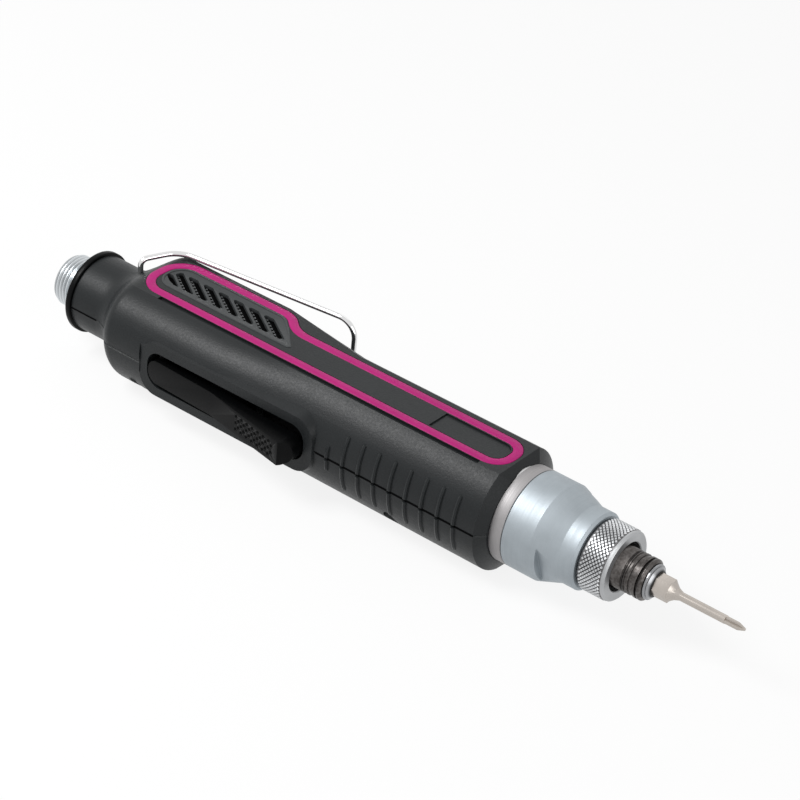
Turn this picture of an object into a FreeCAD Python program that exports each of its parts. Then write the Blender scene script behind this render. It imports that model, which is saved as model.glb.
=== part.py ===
"""Corded electric screwdriver: a straight pencil-grip driver with a start paddle, a planetary
gearbox, an adjustable clutch nose and a hanging bail.

The spindle runs along +X towards the bit, +Z is the vented top face and the start paddle is on -Y.
The origin lies on the spindle's axis where the nose flange meets the body.
"""
import FreeCAD, Part
import math
import os
import Sketcher

# Driving dimensions, in millimetres. Places along the tool are sums of these lengths.
SIZES = {
    # Fits shared by every piece
    "running_clearance": 0.05,
    "gear_side_clearance": 0.2,
    "seat_clearance": 0.1,
    "cut_overrun": 1.0,
    # Moulded body
    "wall": 2.2,
    "top_wall": 2.0,
    "saddle_height": 2.3,
    "parting_chamfer": 0.35,
    "rear_bulge": 1.5,
    "bottom_drop": 19.2,
    "near_top_edge": 9.8,
    "far_top_edge_rear": 15.5,
    "rear_near_arc": 14.0,
    "rear_far_arc": 16.0,
    "front_bevel_length": 2.5,
    "front_bevel_depth": 2.9,
    "front_wall_length": 4.0,
    "waist_length": 12.0,
    "bulkhead_thickness": 2.5,
    "bay_length": 55.3,
    "rear_blend_front": 70.0,
    "rear_blend_length": 33.0,
    "shoulder_length": 14.0,
    "neck_length": 10.3,
    "neck_radius": 13.0,
    "neck_top_flat": 0.4,
    "tail_spigot_wall": 1.8,
    # Grip ridges
    "ridge_width": 1.7,
    "ridge_height": 0.75,
    "ridge_root": 0.5,
    "ridge_pitch": 5.95,
    "first_ridge_place": 9.8,
    # Accent band, vent and thumb recess in the top face
    "band_width": 3.1,
    "band_depth": 1.2,
    "band_outer_half": 8.0,
    "band_front_margin": 3.5,
    "band_rear_overhang": 2.6,
    "band_step_out": 6.0,
    "band_step_length": 14.3,
    "band_step_place": 56.3,
    "band_front_corner": 7.0,
    "band_rear_corner": 9.5,
    "band_groove_gap": 0.12,
    "band_proud": 0.1,
    "valley_width": 1.7,
    "valley_depth": 0.8,
    "valley_gap": 0.15,
    "grille_thickness": 1.2,
    "grille_margin": 0.4,
    "grille_near_edge": 2.5,
    "grille_ledge": 1.2,
    "grille_sink": 0.15,
    "grille_tip_place": 56.6,
    "grille_tip_radius": 1.2,
    "grille_tip_run": 7.6,
    "vent_slot_width": 4.9,
    "vent_slot_slant": 11.5,
    "vent_slot_top": 7.4,
    "vent_slot_foot": 0.2,
    "vent_slot_corner": 0.7,
    "vent_slot_pitch": 6.3,
    "vent_slot_place": 5.9,
    "screen_thickness": 0.6,
    "grille_rim_width": 0.7,
    "grille_rim_height": 0.25,
    "air_opening_reach": 2.5,
    "thumb_recess_length": 25.5,
    "thumb_recess_depth": 0.5,
    "thumb_recess_gap": 0.5,
    # Case screws
    "screw_radius": 1.25,
    "screw_head_radius": 2.3,
    "screw_head_height": 1.8,
    "screw_boss_radius": 3.0,
    "screw_grip": 8.0,
    "screw_seat": 7.0,
    "screw_boss_height": 11.0,
    "front_screw_spread": 14.8,
    "rear_screw_spread": 14.6,
    "rear_screw_place": 7.0,
    # Tail ring and connector
    "tail_ring_width": 2.0,
    "tail_ring_height": 0.8,
    "connector_radius": 8.75,
    "connector_length": 9.3,
    "connector_flange_radius": 12.0,
    "connector_flange_width": 1.0,
    "connector_wall": 1.4,
    "connector_stem_radius": 7.2,
    "connector_stem_length": 13.0,
    "connector_floor": 1.6,
    "contact_radius": 0.8,
    "contact_circle": 4.2,
    "insert_recess": 0.6,
    # Nose
    "nose_step": 0.4,
    "nose_flange_width": 4.2,
    "nose_barrel_length": 9.9,
    "nose_taper_length": 7.9,
    "nose_tip_length": 5.6,
    "nose_tip_wall": 2.54,
    "nose_rear_wall": 2.4,
    "nose_edge": 0.8,
    "nose_seam": 0.3,
    "nose_flat_depth": 1.0,
    "nose_flat_start": 5.3,
    "nose_thread_length": 12.0,
    "spigot_wall": 2.0,
    # Torque ring and clutch
    "ring_gap": 1.35,
    "ring_tail_wall": 1.95,
    "ring_rim_height": 1.55,
    "ring_rear_gap": 0.4,
    "ring_length": 9.4,
    "ring_chamfer": 0.9,
    "seat_washer_thickness": 1.5,
    "torque_travel": 2.0,
    "torque_wire": 1.8,
    "torque_coil_radius": 8.6,
    "clutch_plate_thickness": 2.0,
    "clutch_web_thickness": 3.0,
    "clutch_ball_circle": 9.3,
    "spindle_bush_wall": 1.5,
    "nose_bush_length": 7.0,
    # Spindle, bit and chuck sleeve
    "shaft_radius": 5.5,
    "spindle_tail_radius": 3.5,
    "spindle_radius": 5.0,
    "spindle_front_reach": 11.4,
    "spindle_lip": 1.0,
    "hex_flats": 6.35,
    "hex_depth": 20.0,
    "sleeve_wall": 1.45,
    "sleeve_length": 15.5,
    "sleeve_front_gap": 2.1,
    "sleeve_groove_width": 0.8,
    "sleeve_groove_depth": 0.35,
    "sleeve_groove_place": 4.9,
    "sleeve_chamfer": 0.7,
    "sleeve_spring_wire": 0.5,
    "sleeve_pocket_depth": 0.75,
    "sleeve_pocket_length": 5.5,
    "sleeve_rear_gap": 1.0,
    "bit_ball_radius": 0.85,
    "bit_ball_place": 6.5,
    "clip_width": 0.8,
    "clip_height": 0.55,
    "bit_hex_reach": 4.6,
    "bit_taper_length": 3.3,
    "bit_shaft_radius": 1.3,
    "bit_reach": 29.2,
    "bit_point_length": 2.4,
    "bit_flute_length": 6.4,
    "bit_point_radius": 0.35,
    "bit_wing_half": 0.32,
    # Gear train
    "gear_module": 0.5,
    "gear_backlash": 0.16,
    "ring_gear_wall": 1.275,
    "case_wall": 1.1,
    "planet_face": 8.0,
    "carrier_thickness": 2.3,
    "carrier_rim": 0.5,
    "planet_pin_radius": 1.25,
    "gear_cover_thickness": 2.5,
    # Motor
    "motor_length": 46.0,
    "motor_inset": 1.2,
    "motor_wall": 1.0,
    "motor_plate_thickness": 2.0,
    "motor_spigot_radius": 9.9,
    "motor_rear_spigot_radius": 6.9,
    "motor_bearing_width": 4.0,
    "motor_bearing_radius": 5.0,
    "motor_shaft_radius": 2.5,
    "pinion_shaft_radius": 1.5,
    "magnet_radius": 6.5,
    "magnet_length": 32.0,
    "air_gap": 0.4,
    "stator_yoke": 2.0,
    "stator_tooth_width": 3.0,
    "stator_length": 30.0,
    "coil_thickness": 1.3,
    "coil_overhang": 2.0,
    # Start paddle and its switch
    "paddle_slot_rear": 16.0,
    "paddle_slot_length": 63.0,
    "paddle_slot_height": 12.4,
    "paddle_slot_corner": 5.0,
    "paddle_side_gap": 0.4,
    "slot_reach": 3.0,
    "surround_margin": 3.0,
    "surround_spread": 1.6,
    "surround_corner": 3.5,
    "surround_root": 16.4,
    "surround_rear_face": 20.75,
    "surround_front_face": 20.2,
    "paddle_rear_face": 20.7,
    "paddle_kink_place": 27.0,
    "paddle_kink_face": 21.6,
    "paddle_front_face": 27.5,
    "paddle_thickness": 3.4,
    "paddle_above": 3.3,
    "paddle_below": 4.9,
    "paddle_corner": 3.8,
    "paddle_front_depth": 7.7,
    "paddle_hub": 2.3,
    "paddle_toe": 1.8,
    "paddle_toe_drop": 2.2,
    "paddle_pin_place": 3.6,
    "paddle_pin_radius": 1.0,
    "paddle_pin_depth": 3.0,
    "paddle_pin_reach": 3.0,
    "pin_block_wall": 2.0,
    "switch_place": 33.0,
    "switch_rest_width": 4.0,
    "switch_rest_height": 11.3,
    "switch_length": 14.0,
    "switch_depth": 8.0,
    "switch_height": 8.0,
    "plunger_radius": 1.2,
    "plunger_length": 2.8,
    "plunger_travel": 1.8,
    "paddle_spring_wire": 0.5,
    "paddle_spring_radius": 2.0,
    # Circuit board
    "board_thickness": 1.6,
    "board_length": 47.0,
    "board_width": 20.0,
    "board_front_gap": 5.0,
    "board_post_radius": 1.5,
    "chip_length": 5.0,
    "chip_height": 1.5,
    "capacitor_radius": 3.0,
    "capacitor_height": 7.0,
    # Reversing rocker on the far side
    "rocker_place": 33.0,
    "rocker_length": 13.0,
    "rocker_height": 7.0,
    "rocker_proud": 1.2,
    "rocker_depth": 4.5,
    "rocker_frame_wall": 1.2,
    "rocker_body_depth": 9.5,
    "rocker_frame_proud": 0.9,
    "rocker_end_gap": 0.5,
    "rocker_side_gap": 0.2,
    "rocker_pin_radius": 0.75,
    # Hanging bail
    "bail_wire": 1.8,
    "bail_pivot_place": 9.0,
    "bail_pivot_offset": 2.2,
    "bail_half_height": 18.1,
    "bail_knee_place": 5.0,
    "bail_knee_side": 12.6,
    "bail_end_place": 66.5,
    "bail_end_side": 7.6,
    "bail_corner": 6.0,
    "bail_bend": 2.2,
    "bail_peg_end": 10.5,
}

# Counts of teeth and repeats
SUN_TEETH = 12
PLANET_TEETH = 18
RING_TEETH = SUN_TEETH + 2 * PLANET_TEETH
PLANETS = 3
RIDGES = 8
CLUTCH_BALLS = 6
STATOR_TEETH = 6
CONTACTS = 5
FULL_TURN = 360
FULL_SLOTS = 6
CHIPS = 4
HEX_SIDES = 6
TORQUE_TURNS = 4
SLEEVE_TURNS = 5
PADDLE_TURNS = 3
SIDES = (-1, 1)
# Degrees that the grip's ridges run up (1) and down (-1) from the parting line
RIDGE_ANGLES = {1: 29, -1: 25}
SHORT_RIDGE_ANGLE = 11
# Degrees: turn of the nose's wrench flats from upright, and slope of the gear flanks
FLAT_ANGLE = 21
PRESSURE_ANGLE = 20
# The flared shoulder: shares of its length and of its widening
SHOULDER_SHARES = ((0.2, 0.04), (0.4, 0.2), (0.6, 0.56), (0.8, 0.9))
# Half widths of the bottom flat and of the bays' roof, as shares of the top face's near half
BOTTOM_FLAT_SHARE = 0.5
BAY_EDGE_SHARE = 0.75
# Step from one power chip to the next, and radius of the bail's knee, as shares of a chip and of a corner
CHIP_PITCH_SHARE = 1.3
KNEE_SHARE = 1.5
# The bit's taper is hollow: shares along it and of its height where it bends
TAPER_KNEE_SHARES = (0.48, 0.34)
# The two slots at the grille's round rear end are cut short, as shares across and down a whole slot
REAR_SLOTS = (
    (1, ((0.0, 0.32), (0.0, 1.0), (1.0, 1.0), (1.0, 0.0), (0.62, 0.08))),
    (2, ((0.28, 0.62), (0.25, 0.86), (0.5, 1.0), (1.0, 1.0), (1.0, 0.44), (0.62, 0.44))),
)
# A number below this counts as nothing
TINY = 1e-9

document = FreeCAD.newDocument("electric_screwdriver")
sheet = document.addObject("Spreadsheet::Sheet", "Sizes")
for row, (alias, value) in enumerate(SIZES.items(), start=1):
    sheet.set("A%d" % row, alias)
    sheet.set("B%d" % row, str(value))
    sheet.setAlias("B%d" % row, alias)
document.recompute()

NODES = []


class Length:
    """A length with its number and the sheet expression that it is bound to."""

    def __init__(self, number, text):
        self.number = number
        self.text = text

    def __add__(self, other):
        return Length(self.number + other.number, "(%s + %s)" % (self.text, other.text))

    def __sub__(self, other):
        return Length(self.number - other.number, "(%s - %s)" % (self.text, other.text))

    def __neg__(self):
        return Length(-self.number, "(-1 * %s)" % self.text)

    def __mul__(self, factor):
        return Length(self.number * factor, "(%s * %r)" % (self.text, factor))

    def __truediv__(self, factor):
        return Length(self.number / factor, "(%s / %r)" % (self.text, factor))


class Sheet:
    """Gives each cell of the sheet as a Length by its alias."""

    def __getattr__(self, alias):
        return Length(SIZES[alias], "Sizes." + alias)


size = Sheet()
ZERO = Length(0, "0")


def vector(x, y, z=ZERO):
    return FreeCAD.Vector(x.number, y.number, z.number)


def body_plane(body, role):
    return [feature for feature in body.Origin.OriginFeatures if feature.Role == role][0]


def new_body(label):
    body = document.addObject("PartDesign::Body", label)
    body.Label = label
    NODES.append(body)
    return body


def new_sketch(body, name, role, height):
    """An empty sketch on one of the body's own origin planes, raised along the plane's normal."""
    sketch = body.newObject("Sketcher::SketchObject", body.Label + "_" + name)
    sketch.AttachmentSupport = [(body_plane(body, role), "")]
    sketch.MapMode = "FlatFace"
    sketch.setExpression("AttachmentOffset.Base.z", height.text)
    return sketch


def arc_edge(start, end, radius, side):
    """An arc of under half a circle that bulges to the left (+1) or right (-1) of its direction."""
    chord = end - start
    middle = (start + end) * 0.5
    left = FreeCAD.Vector(-chord.y, chord.x, 0).normalize()
    rise = math.sqrt(max(radius ** 2 - (chord.Length / 2) ** 2, 0))
    centre = middle - left * (side * rise)
    angles = [math.atan2(point.y - centre.y, point.x - centre.x) for point in (start, end)]
    if side > 0:
        angles.reverse()
    if angles[1] < angles[0]:
        angles[1] += 2 * math.pi
    circle = Part.Circle(centre, FreeCAD.Vector(0, 0, 1), radius)
    return Part.ArcOfCircle(circle, angles[0], angles[1])


def draw_outline(sketch, corners, arcs=None):
    """A closed outline of straight edges and arcs; each corner and radius is bound to the sheet.

    arcs gives, for an edge's number, its radius and the side it bulges to.
    """
    arcs = arcs or {}
    first = sketch.GeometryCount
    count = len(corners)
    starts = []
    for number, corner in enumerate(corners):
        start = vector(*corner)
        end = vector(*corners[(number + 1) % count])
        if number in arcs:
            radius, side = arcs[number]
            sketch.addGeometry(arc_edge(start, end, radius.number, side), False)
            starts.append(2 if side > 0 else 1)
        else:
            sketch.addGeometry(Part.LineSegment(start, end), False)
            starts.append(1)
    joins = []
    for number in range(count):
        after = (number + 1) % count
        joins.append(Sketcher.Constraint(
            "Coincident", first + number, 3 - starts[number], first + after, starts[after]))
    sketch.addConstraint(joins)
    for number, corner in enumerate(corners):
        edge = first + number
        for direction, axis, place in (("DistanceX", -2, corner[0]), ("DistanceY", -1, corner[1])):
            if place is ZERO:
                sketch.addConstraint(Sketcher.Constraint("PointOnObject", edge, starts[number], axis))
                continue
            index = sketch.addConstraint(
                Sketcher.Constraint(direction, -1, 1, edge, starts[number], place.number))
            sketch.setExpression("Constraints[%d]" % index, place.text)
    for number, (radius, side) in arcs.items():
        index = sketch.addConstraint(Sketcher.Constraint("Radius", first + number, radius.number))
        sketch.setExpression("Constraints[%d]" % index, radius.text)


def draw_circle(sketch, across, up, radius):
    circle = Part.Circle(vector(across, up), FreeCAD.Vector(0, 0, 1), radius.number)
    number = sketch.addGeometry(circle, False)
    for direction, axis, place in (("DistanceX", -2, across), ("DistanceY", -1, up)):
        if place is ZERO:
            sketch.addConstraint(Sketcher.Constraint("PointOnObject", number, 3, axis))
            continue
        index = sketch.addConstraint(Sketcher.Constraint(direction, -1, 1, number, 3, place.number))
        sketch.setExpression("Constraints[%d]" % index, place.text)
    index = sketch.addConstraint(Sketcher.Constraint("Radius", number, radius.number))
    sketch.setExpression("Constraints[%d]" % index, radius.text)


def extrude(body, kind, sketch, length, backwards=False):
    """A Pad or Pocket of a sketch; a Pocket runs against the plane's normal unless turned round."""
    feature = body.newObject("PartDesign::" + kind, sketch.Label + "_" + kind.lower())
    feature.Profile = sketch
    feature.setExpression("Length", length.text)
    feature.Reversed = backwards
    document.recompute()
    return feature


def loft(body, kind, name, sketches, ruled=False):
    feature = body.newObject("PartDesign::" + kind, body.Label + "_" + name)
    feature.Profile = sketches[0]
    feature.Sections = sketches[1:]
    feature.Ruled = ruled
    document.recompute()
    return feature


def spin(body, kind, sketch, angle=FULL_TURN, backwards=False):
    """A Revolution or Groove of a sketch about its own horizontal axis."""
    feature = body.newObject("PartDesign::" + kind, sketch.Label + "_" + kind.lower())
    feature.Profile = sketch
    feature.ReferenceAxis = (sketch, ["H_Axis"])
    feature.Angle = angle
    feature.Reversed = backwards
    document.recompute()
    return feature


def turned(label, outline):
    """A piece turned about the spindle's axis from an outline of (place, radius) corners."""
    body = new_body(label)
    sketch = new_sketch(body, "outline", "XY_Plane", ZERO)
    draw_outline(sketch, outline)
    spin(body, "Revolution", sketch)
    return body


def tube(label, rear, front, inner, outer):
    return turned(label, [(rear, inner), (front, inner), (front, outer), (rear, outer)])


def block_outline(left, right, low, high):
    return [(left, low), (right, low), (right, high), (left, high)]


def rounded_block(left, right, low, high, corner):
    """A rectangle with round corners, with the arcs that go with it."""
    corners = [
        (left + corner, low), (right - corner, low), (right, low + corner), (right, high - corner),
        (right - corner, high), (left + corner, high), (left, high - corner), (left, low + corner),
    ]
    arcs = {number: (corner, -1) for number in (1, 3, 5, 7)}
    return corners, arcs


def place(feature, x, y, z):
    for axis, length in (("x", x), ("y", y), ("z", z)):
        feature.setExpression("Placement.Base." + axis, length.text)


def cylinder(name, radius, height, x, y, z, rotation=None):
    """A round bar that starts at a place and runs along +Z, or as turned."""
    feature = document.addObject("Part::Cylinder", name)
    feature.setExpression("Radius", radius.text)
    feature.setExpression("Height", height.text)
    if rotation:
        feature.Placement.Rotation = rotation
    place(feature, x, y, z)
    return feature


def block(name, length, width, height, x, y, z):
    """A rectangular block from its low corner."""
    feature = document.addObject("Part::Box", name)
    for side, amount in (("Length", length), ("Width", width), ("Height", height)):
        feature.setExpression(side, amount.text)
    place(feature, x, y, z)
    return feature


def group(label, features):
    """Identical loose pieces that share one node."""
    compound = document.addObject("Part::Compound", label)
    compound.Label = label
    compound.Links = features
    NODES.append(compound)
    return compound


def named(label, feature):
    feature.Label = label
    NODES.append(feature)
    return feature


def fuse(name, features):
    feature = document.addObject("Part::MultiFuse", name)
    feature.Shapes = features
    return feature


def cut(name, base, tool):
    feature = document.addObject("Part::Cut", name)
    feature.Base = base
    feature.Tool = tool
    return feature


def shaped(label, shape, placement=None):
    """A piece whose outline follows a formula that no sketch or primitive holds."""
    feature = document.addObject("Part::Feature", label)
    feature.Label = label
    feature.Shape = shape
    if placement:
        feature.Placement = placement
    NODES.append(feature)
    return feature


ALONG_X = FreeCAD.Rotation(FreeCAD.Vector(0, 1, 0), 90)
ALONG_Y = FreeCAD.Rotation(FreeCAD.Vector(1, 0, 0), -90)

# Radii, worked out from the gear train outwards
planet_circle = size.gear_module * ((SUN_TEETH + PLANET_TEETH) / 2)
ring_pitch_radius = size.gear_module * (RING_TEETH / 2)
DEDENDUM_SHARE = 1.25
ADDENDUM_SHARE = 0.85
ring_root_radius = ring_pitch_radius + size.gear_module * DEDENDUM_SHARE
ring_gear_radius = ring_root_radius + size.ring_gear_wall
case_radius = ring_gear_radius + size.case_wall
carrier_radius = ring_pitch_radius - size.gear_module - size.carrier_rim
motor_radius = case_radius - size.motor_inset
cavity_radius = case_radius + size.saddle_height
body_radius = cavity_radius + size.wall
top_height = case_radius + size.top_wall
roof_height = case_radius
rear_half_width = body_radius + size.rear_bulge
cavity_bottom = size.bottom_drop - size.wall
sleeve_bore = size.spindle_radius + size.running_clearance
sleeve_radius = sleeve_bore + size.sleeve_wall
ring_bore = sleeve_radius + size.ring_gap
ring_tail_radius = ring_bore + size.ring_tail_wall
ring_radius = ring_tail_radius + size.ring_rim_height
nose_bore = ring_tail_radius + size.running_clearance
nose_tip_radius = nose_bore + size.nose_tip_wall
nose_radius = case_radius + size.nose_step
spigot_radius = nose_radius - size.nose_rear_wall
spigot_bore = spigot_radius - size.spigot_wall
hex_corner_radius = size.hex_flats / math.sqrt(3)

# Places along the spindle, forward of the flange's rear face
flange_front = size.nose_flange_width
taper_rear = flange_front + size.nose_barrel_length
taper_front = taper_rear + size.nose_taper_length
nose_front = taper_front + size.nose_tip_length
ring_rear = nose_front + size.ring_rear_gap
ring_front = ring_rear + size.ring_length
spindle_front = ring_front + size.spindle_front_reach
spigot_front = size.nose_thread_length
seat_front = spigot_front + size.seat_washer_thickness
seat_stop = seat_front + size.torque_travel + size.seat_clearance
sleeve_front = spindle_front - size.sleeve_front_gap
sleeve_rear = sleeve_front - size.sleeve_length
hex_front = spindle_front + size.bit_hex_reach
bit_taper_front = hex_front + size.bit_taper_length
bit_tip = spindle_front + size.bit_reach

# Places behind the flange, as distances; a minus sign puts them on the axis
web_front = size.clutch_plate_thickness
web_rear = web_front + size.clutch_web_thickness
carrier_2_front = web_rear + size.gear_side_clearance
carrier_2_rear = carrier_2_front + size.carrier_thickness
planet_2_front = carrier_2_rear + size.gear_side_clearance
planet_2_rear = planet_2_front + size.planet_face
carrier_1_front = planet_2_rear + size.gear_side_clearance
carrier_1_rear = carrier_1_front + size.carrier_thickness
planet_1_front = carrier_1_rear + size.gear_side_clearance
planet_1_rear = planet_1_front + size.planet_face
cover_front = planet_1_rear + size.gear_side_clearance
case_rear = cover_front + size.gear_cover_thickness
waist_front = case_rear + size.seat_clearance
waist_rear = waist_front + size.waist_length
motor_rear = waist_rear + size.motor_length
bulkhead_rear = motor_rear + size.bulkhead_thickness
shoulder_front = bulkhead_rear + size.bay_length
shoulder_rear = shoulder_front + size.shoulder_length
neck_rear = shoulder_rear + size.neck_length
tail_rear = neck_rear + size.tail_ring_width
blend_rear = size.rear_blend_front + size.rear_blend_length
front_screw_place = waist_front + size.waist_length / 2
rear_screw_place = shoulder_front - size.rear_screw_place

# Paddle slot and bail places, measured forward from the shoulder
slot_rear = shoulder_front - size.paddle_slot_rear
slot_front = slot_rear - size.paddle_slot_length
slot_half = size.paddle_slot_height / 2
paddle_pin_x = slot_rear - size.paddle_pin_place
paddle_pin_y = size.paddle_rear_face - size.paddle_pin_depth
bail_pivot_x = shoulder_front + size.bail_pivot_place
switch_rear = shoulder_front - size.switch_place
rocker_x = shoulder_front - size.rocker_place
band_rear = shoulder_front + size.band_rear_overhang
band_front = size.band_front_margin
band_step_rear = shoulder_front - size.band_step_place + size.band_step_length
band_step_front = shoulder_front - size.band_step_place


def half_section(up, near, far, height, near_edge, far_edge, near_arc, far_arc):
    """One half of the body's cross-section, as (across, up) corners with its two side arcs."""
    chamfer = size.parting_chamfer
    corners = [
        (chamfer - near, ZERO), (-near, chamfer * up), (-near_edge, height * up),
        (far_edge, height * up), (far, chamfer * up), (far - chamfer, ZERO),
    ]
    return corners, {1: (near_arc, up), 3: (far_arc, up)}


def front_section(up, inset=ZERO):
    """The round grip section, flat on top and narrowly flat below."""
    radius = body_radius - inset
    if up > 0:
        height = top_height - inset
        edge = size.near_top_edge - inset
    else:
        height = size.bottom_drop - inset
        edge = size.near_top_edge * BOTTOM_FLAT_SHARE - inset
    return half_section(up, radius, radius, height, edge, edge, body_radius, body_radius)


def rear_section(up):
    """The fuller section under the vent, whose top reaches further to the far side."""
    if up > 0:
        return half_section(up, rear_half_width, rear_half_width, top_height, size.near_top_edge,
                            size.far_top_edge_rear, size.rear_near_arc, size.rear_far_arc)
    edge = size.near_top_edge * BOTTOM_FLAT_SHARE
    return half_section(up, rear_half_width, rear_half_width, size.bottom_drop, edge, edge,
                        body_radius + size.rear_bulge, body_radius + size.rear_bulge)


def neck_section(up, radius):
    height = radius - size.neck_top_flat / 2
    return half_section(up, radius, radius, height, size.neck_top_flat, size.neck_top_flat,
                        radius, radius)


def section_sketch(body, name, place_x, section):
    sketch = new_sketch(body, name, "YZ_Plane", place_x)
    draw_outline(sketch, *section)
    return sketch


def shoulder_section(up, share):
    """A section part of the way from the neck to the rear section."""
    rest = 1 - share

    def between(low, high):
        return low * rest + high * share

    neck = size.neck_radius
    height = top_height if up > 0 else size.bottom_drop
    edge = size.near_top_edge if up > 0 else size.near_top_edge * BOTTOM_FLAT_SHARE
    far_edge = size.far_top_edge_rear if up > 0 else edge
    near_arc = size.rear_near_arc if up > 0 else rear_half_width
    far_arc = size.rear_far_arc if up > 0 else rear_half_width
    width = between(neck, rear_half_width)
    flat = size.neck_top_flat
    return half_section(up, width, width, between(neck - flat / 2, height), between(flat, edge),
                        between(flat, far_edge), between(neck, near_arc), between(neck, far_arc))


def outer_form(body, up):
    """Neck, flared shoulder, full rear, round grip and front bevel of one half of the body."""
    neck = section_sketch(body, "neck", -neck_rear, neck_section(up, size.neck_radius))
    extrude(body, "Pad", neck, size.neck_length)
    spigot_radius_tail = size.neck_radius - size.tail_spigot_wall
    spigot = section_sketch(body, "tail_spigot", -tail_rear, neck_section(up, spigot_radius_tail))
    extrude(body, "Pad", spigot, size.tail_ring_width)
    flare = [section_sketch(body, "shoulder_rear", -shoulder_rear, neck_section(up, size.neck_radius))]
    for number, (along_share, out_share) in enumerate(SHOULDER_SHARES):
        station = -shoulder_rear + size.shoulder_length * along_share
        flare.append(section_sketch(body, "shoulder_%d" % number, station, shoulder_section(up, out_share)))
    flare.append(section_sketch(body, "shoulder_front", -shoulder_front, rear_section(up)))
    loft(body, "AdditiveLoft", "shoulder", flare)
    rear = section_sketch(body, "rear_start", -shoulder_front, rear_section(up))
    rear_end = section_sketch(body, "rear_end", -blend_rear, rear_section(up))
    loft(body, "AdditiveLoft", "rear", [rear, rear_end], ruled=True)
    blend = [section_sketch(body, "blend_rear", -blend_rear, rear_section(up))]
    blend.append(section_sketch(body, "blend_front", -size.rear_blend_front, front_section(up)))
    loft(body, "AdditiveLoft", "blend", blend, ruled=True)
    grip = section_sketch(body, "grip", -size.rear_blend_front, front_section(up))
    extrude(body, "Pad", grip, size.rear_blend_front - size.front_bevel_length)
    bevel = [section_sketch(body, "bevel_rear", -size.front_bevel_length, front_section(up))]
    bevel.append(section_sketch(body, "bevel_front", ZERO, front_section(up, size.front_bevel_depth)))
    loft(body, "AdditiveLoft", "bevel", bevel, ruled=True)


def hollow(body, up):
    """Bays for the electronics, motor and gears, with bulkheads left between them."""
    bays = (
        ("electronics", bulkhead_rear, size.bay_length - size.wall),
        ("motor", waist_rear, size.motor_length),
        ("gear", size.front_wall_length, case_rear - size.front_wall_length),
    )
    chamfer_side = -size.cut_overrun * up
    for name, front, length in bays:
        sketch = new_sketch(body, name + "_bay", "YZ_Plane", -front)
        height = roof_height if up > 0 else cavity_bottom
        edge = size.near_top_edge * BAY_EDGE_SHARE
        corners = [
            (-cavity_radius, chamfer_side), (-cavity_radius, ZERO), (-edge, height * up),
            (edge, height * up), (cavity_radius, ZERO), (cavity_radius, chamfer_side),
        ]
        draw_outline(sketch, corners, {1: (cavity_radius, up), 3: (cavity_radius, up)})
        extrude(body, "Pocket", sketch, length)
    bores = new_sketch(body, "bores", "XY_Plane", ZERO)
    stem_bore = size.connector_stem_radius + size.running_clearance
    wire_bore = size.motor_rear_spigot_radius + size.running_clearance
    waist_bore = size.motor_spigot_radius + size.running_clearance
    case_bore = case_radius + size.running_clearance
    overrun = size.cut_overrun
    draw_outline(bores, [
        (-tail_rear - overrun, ZERO), (-tail_rear - overrun, stem_bore),
        (-bulkhead_rear - overrun, stem_bore), (-bulkhead_rear - overrun, wire_bore),
        (-waist_rear - overrun, wire_bore), (-waist_rear - overrun, waist_bore),
        (-case_rear, waist_bore), (-case_rear, case_bore),
        (overrun, case_bore), (overrun, ZERO),
    ])
    spin(body, "Groove", bores)


def mirrored_half(up, height):
    """A height on the upper or the lower side of the parting plane."""
    return height * up


def surround_outline(up, margin):
    """Half of the rounded field round the paddle's slot, down to the parting plane."""
    rear = -(slot_rear + margin)
    front = margin - slot_front
    rise = slot_half + margin
    corner = size.surround_corner + margin
    corners = [
        (rear, ZERO), (front, ZERO), (front, (rise - corner) * up), (front - corner, rise * up),
        (rear + corner, rise * up), (rear, (rise - corner) * up),
    ]
    return corners, {2: (corner, -up), 4: (corner, -up)}


def paddle_surround(body, up):
    """Flat raised field round the paddle's slot, sloped off towards the body on all sides."""
    margin = size.surround_margin
    field = new_sketch(body, "surround_face", "XZ_Plane", body_radius + size.rear_bulge)
    draw_outline(field, *surround_outline(up, margin))
    foot = new_sketch(body, "surround_foot", "XZ_Plane", size.surround_root)
    draw_outline(foot, *surround_outline(up, margin + size.surround_spread))
    loft(body, "AdditiveLoft", "surround", [foot, field], ruled=True)
    high_edge = mirrored_half(up, slot_half + margin + size.surround_spread)
    stations = (
        ("surround_rear", -(slot_rear + margin), size.surround_rear_face),
        ("surround_front", margin + size.surround_spread - slot_front, size.surround_front_face),
    )
    shaves = []
    for name, station, face in stations:
        shave = new_sketch(body, name + "_shave", "YZ_Plane", station)
        draw_outline(shave, [
            (-face, ZERO), (-face, high_edge),
            (-(face + size.wall), high_edge), (-(face + size.wall), ZERO),
        ])
        shaves.append(shave)
    loft(body, "SubtractiveLoft", "surround_shave", shaves, ruled=True)


def side_openings(body, up):
    """The paddle's slot on the near side and the rocker's window on the far side."""
    outside = size.paddle_front_face
    slot = new_sketch(body, "paddle_slot", "XZ_Plane", outside)
    outline = rounded_block(-slot_rear, -slot_front, -slot_half, slot_half, size.paddle_slot_corner)
    draw_outline(slot, *outline)
    extrude(body, "Pocket", slot, outside - cavity_radius + size.slot_reach)
    window = new_sketch(body, "rocker_window", "XZ_Plane", -outside)
    draw_outline(window, block_outline(
        -(rocker_x + rocker_body_half), -(rocker_x - rocker_body_half),
        -rocker_body_rise, rocker_body_rise))
    extrude(body, "Pocket", window, outside - rocker_body_inner, backwards=True)


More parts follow.
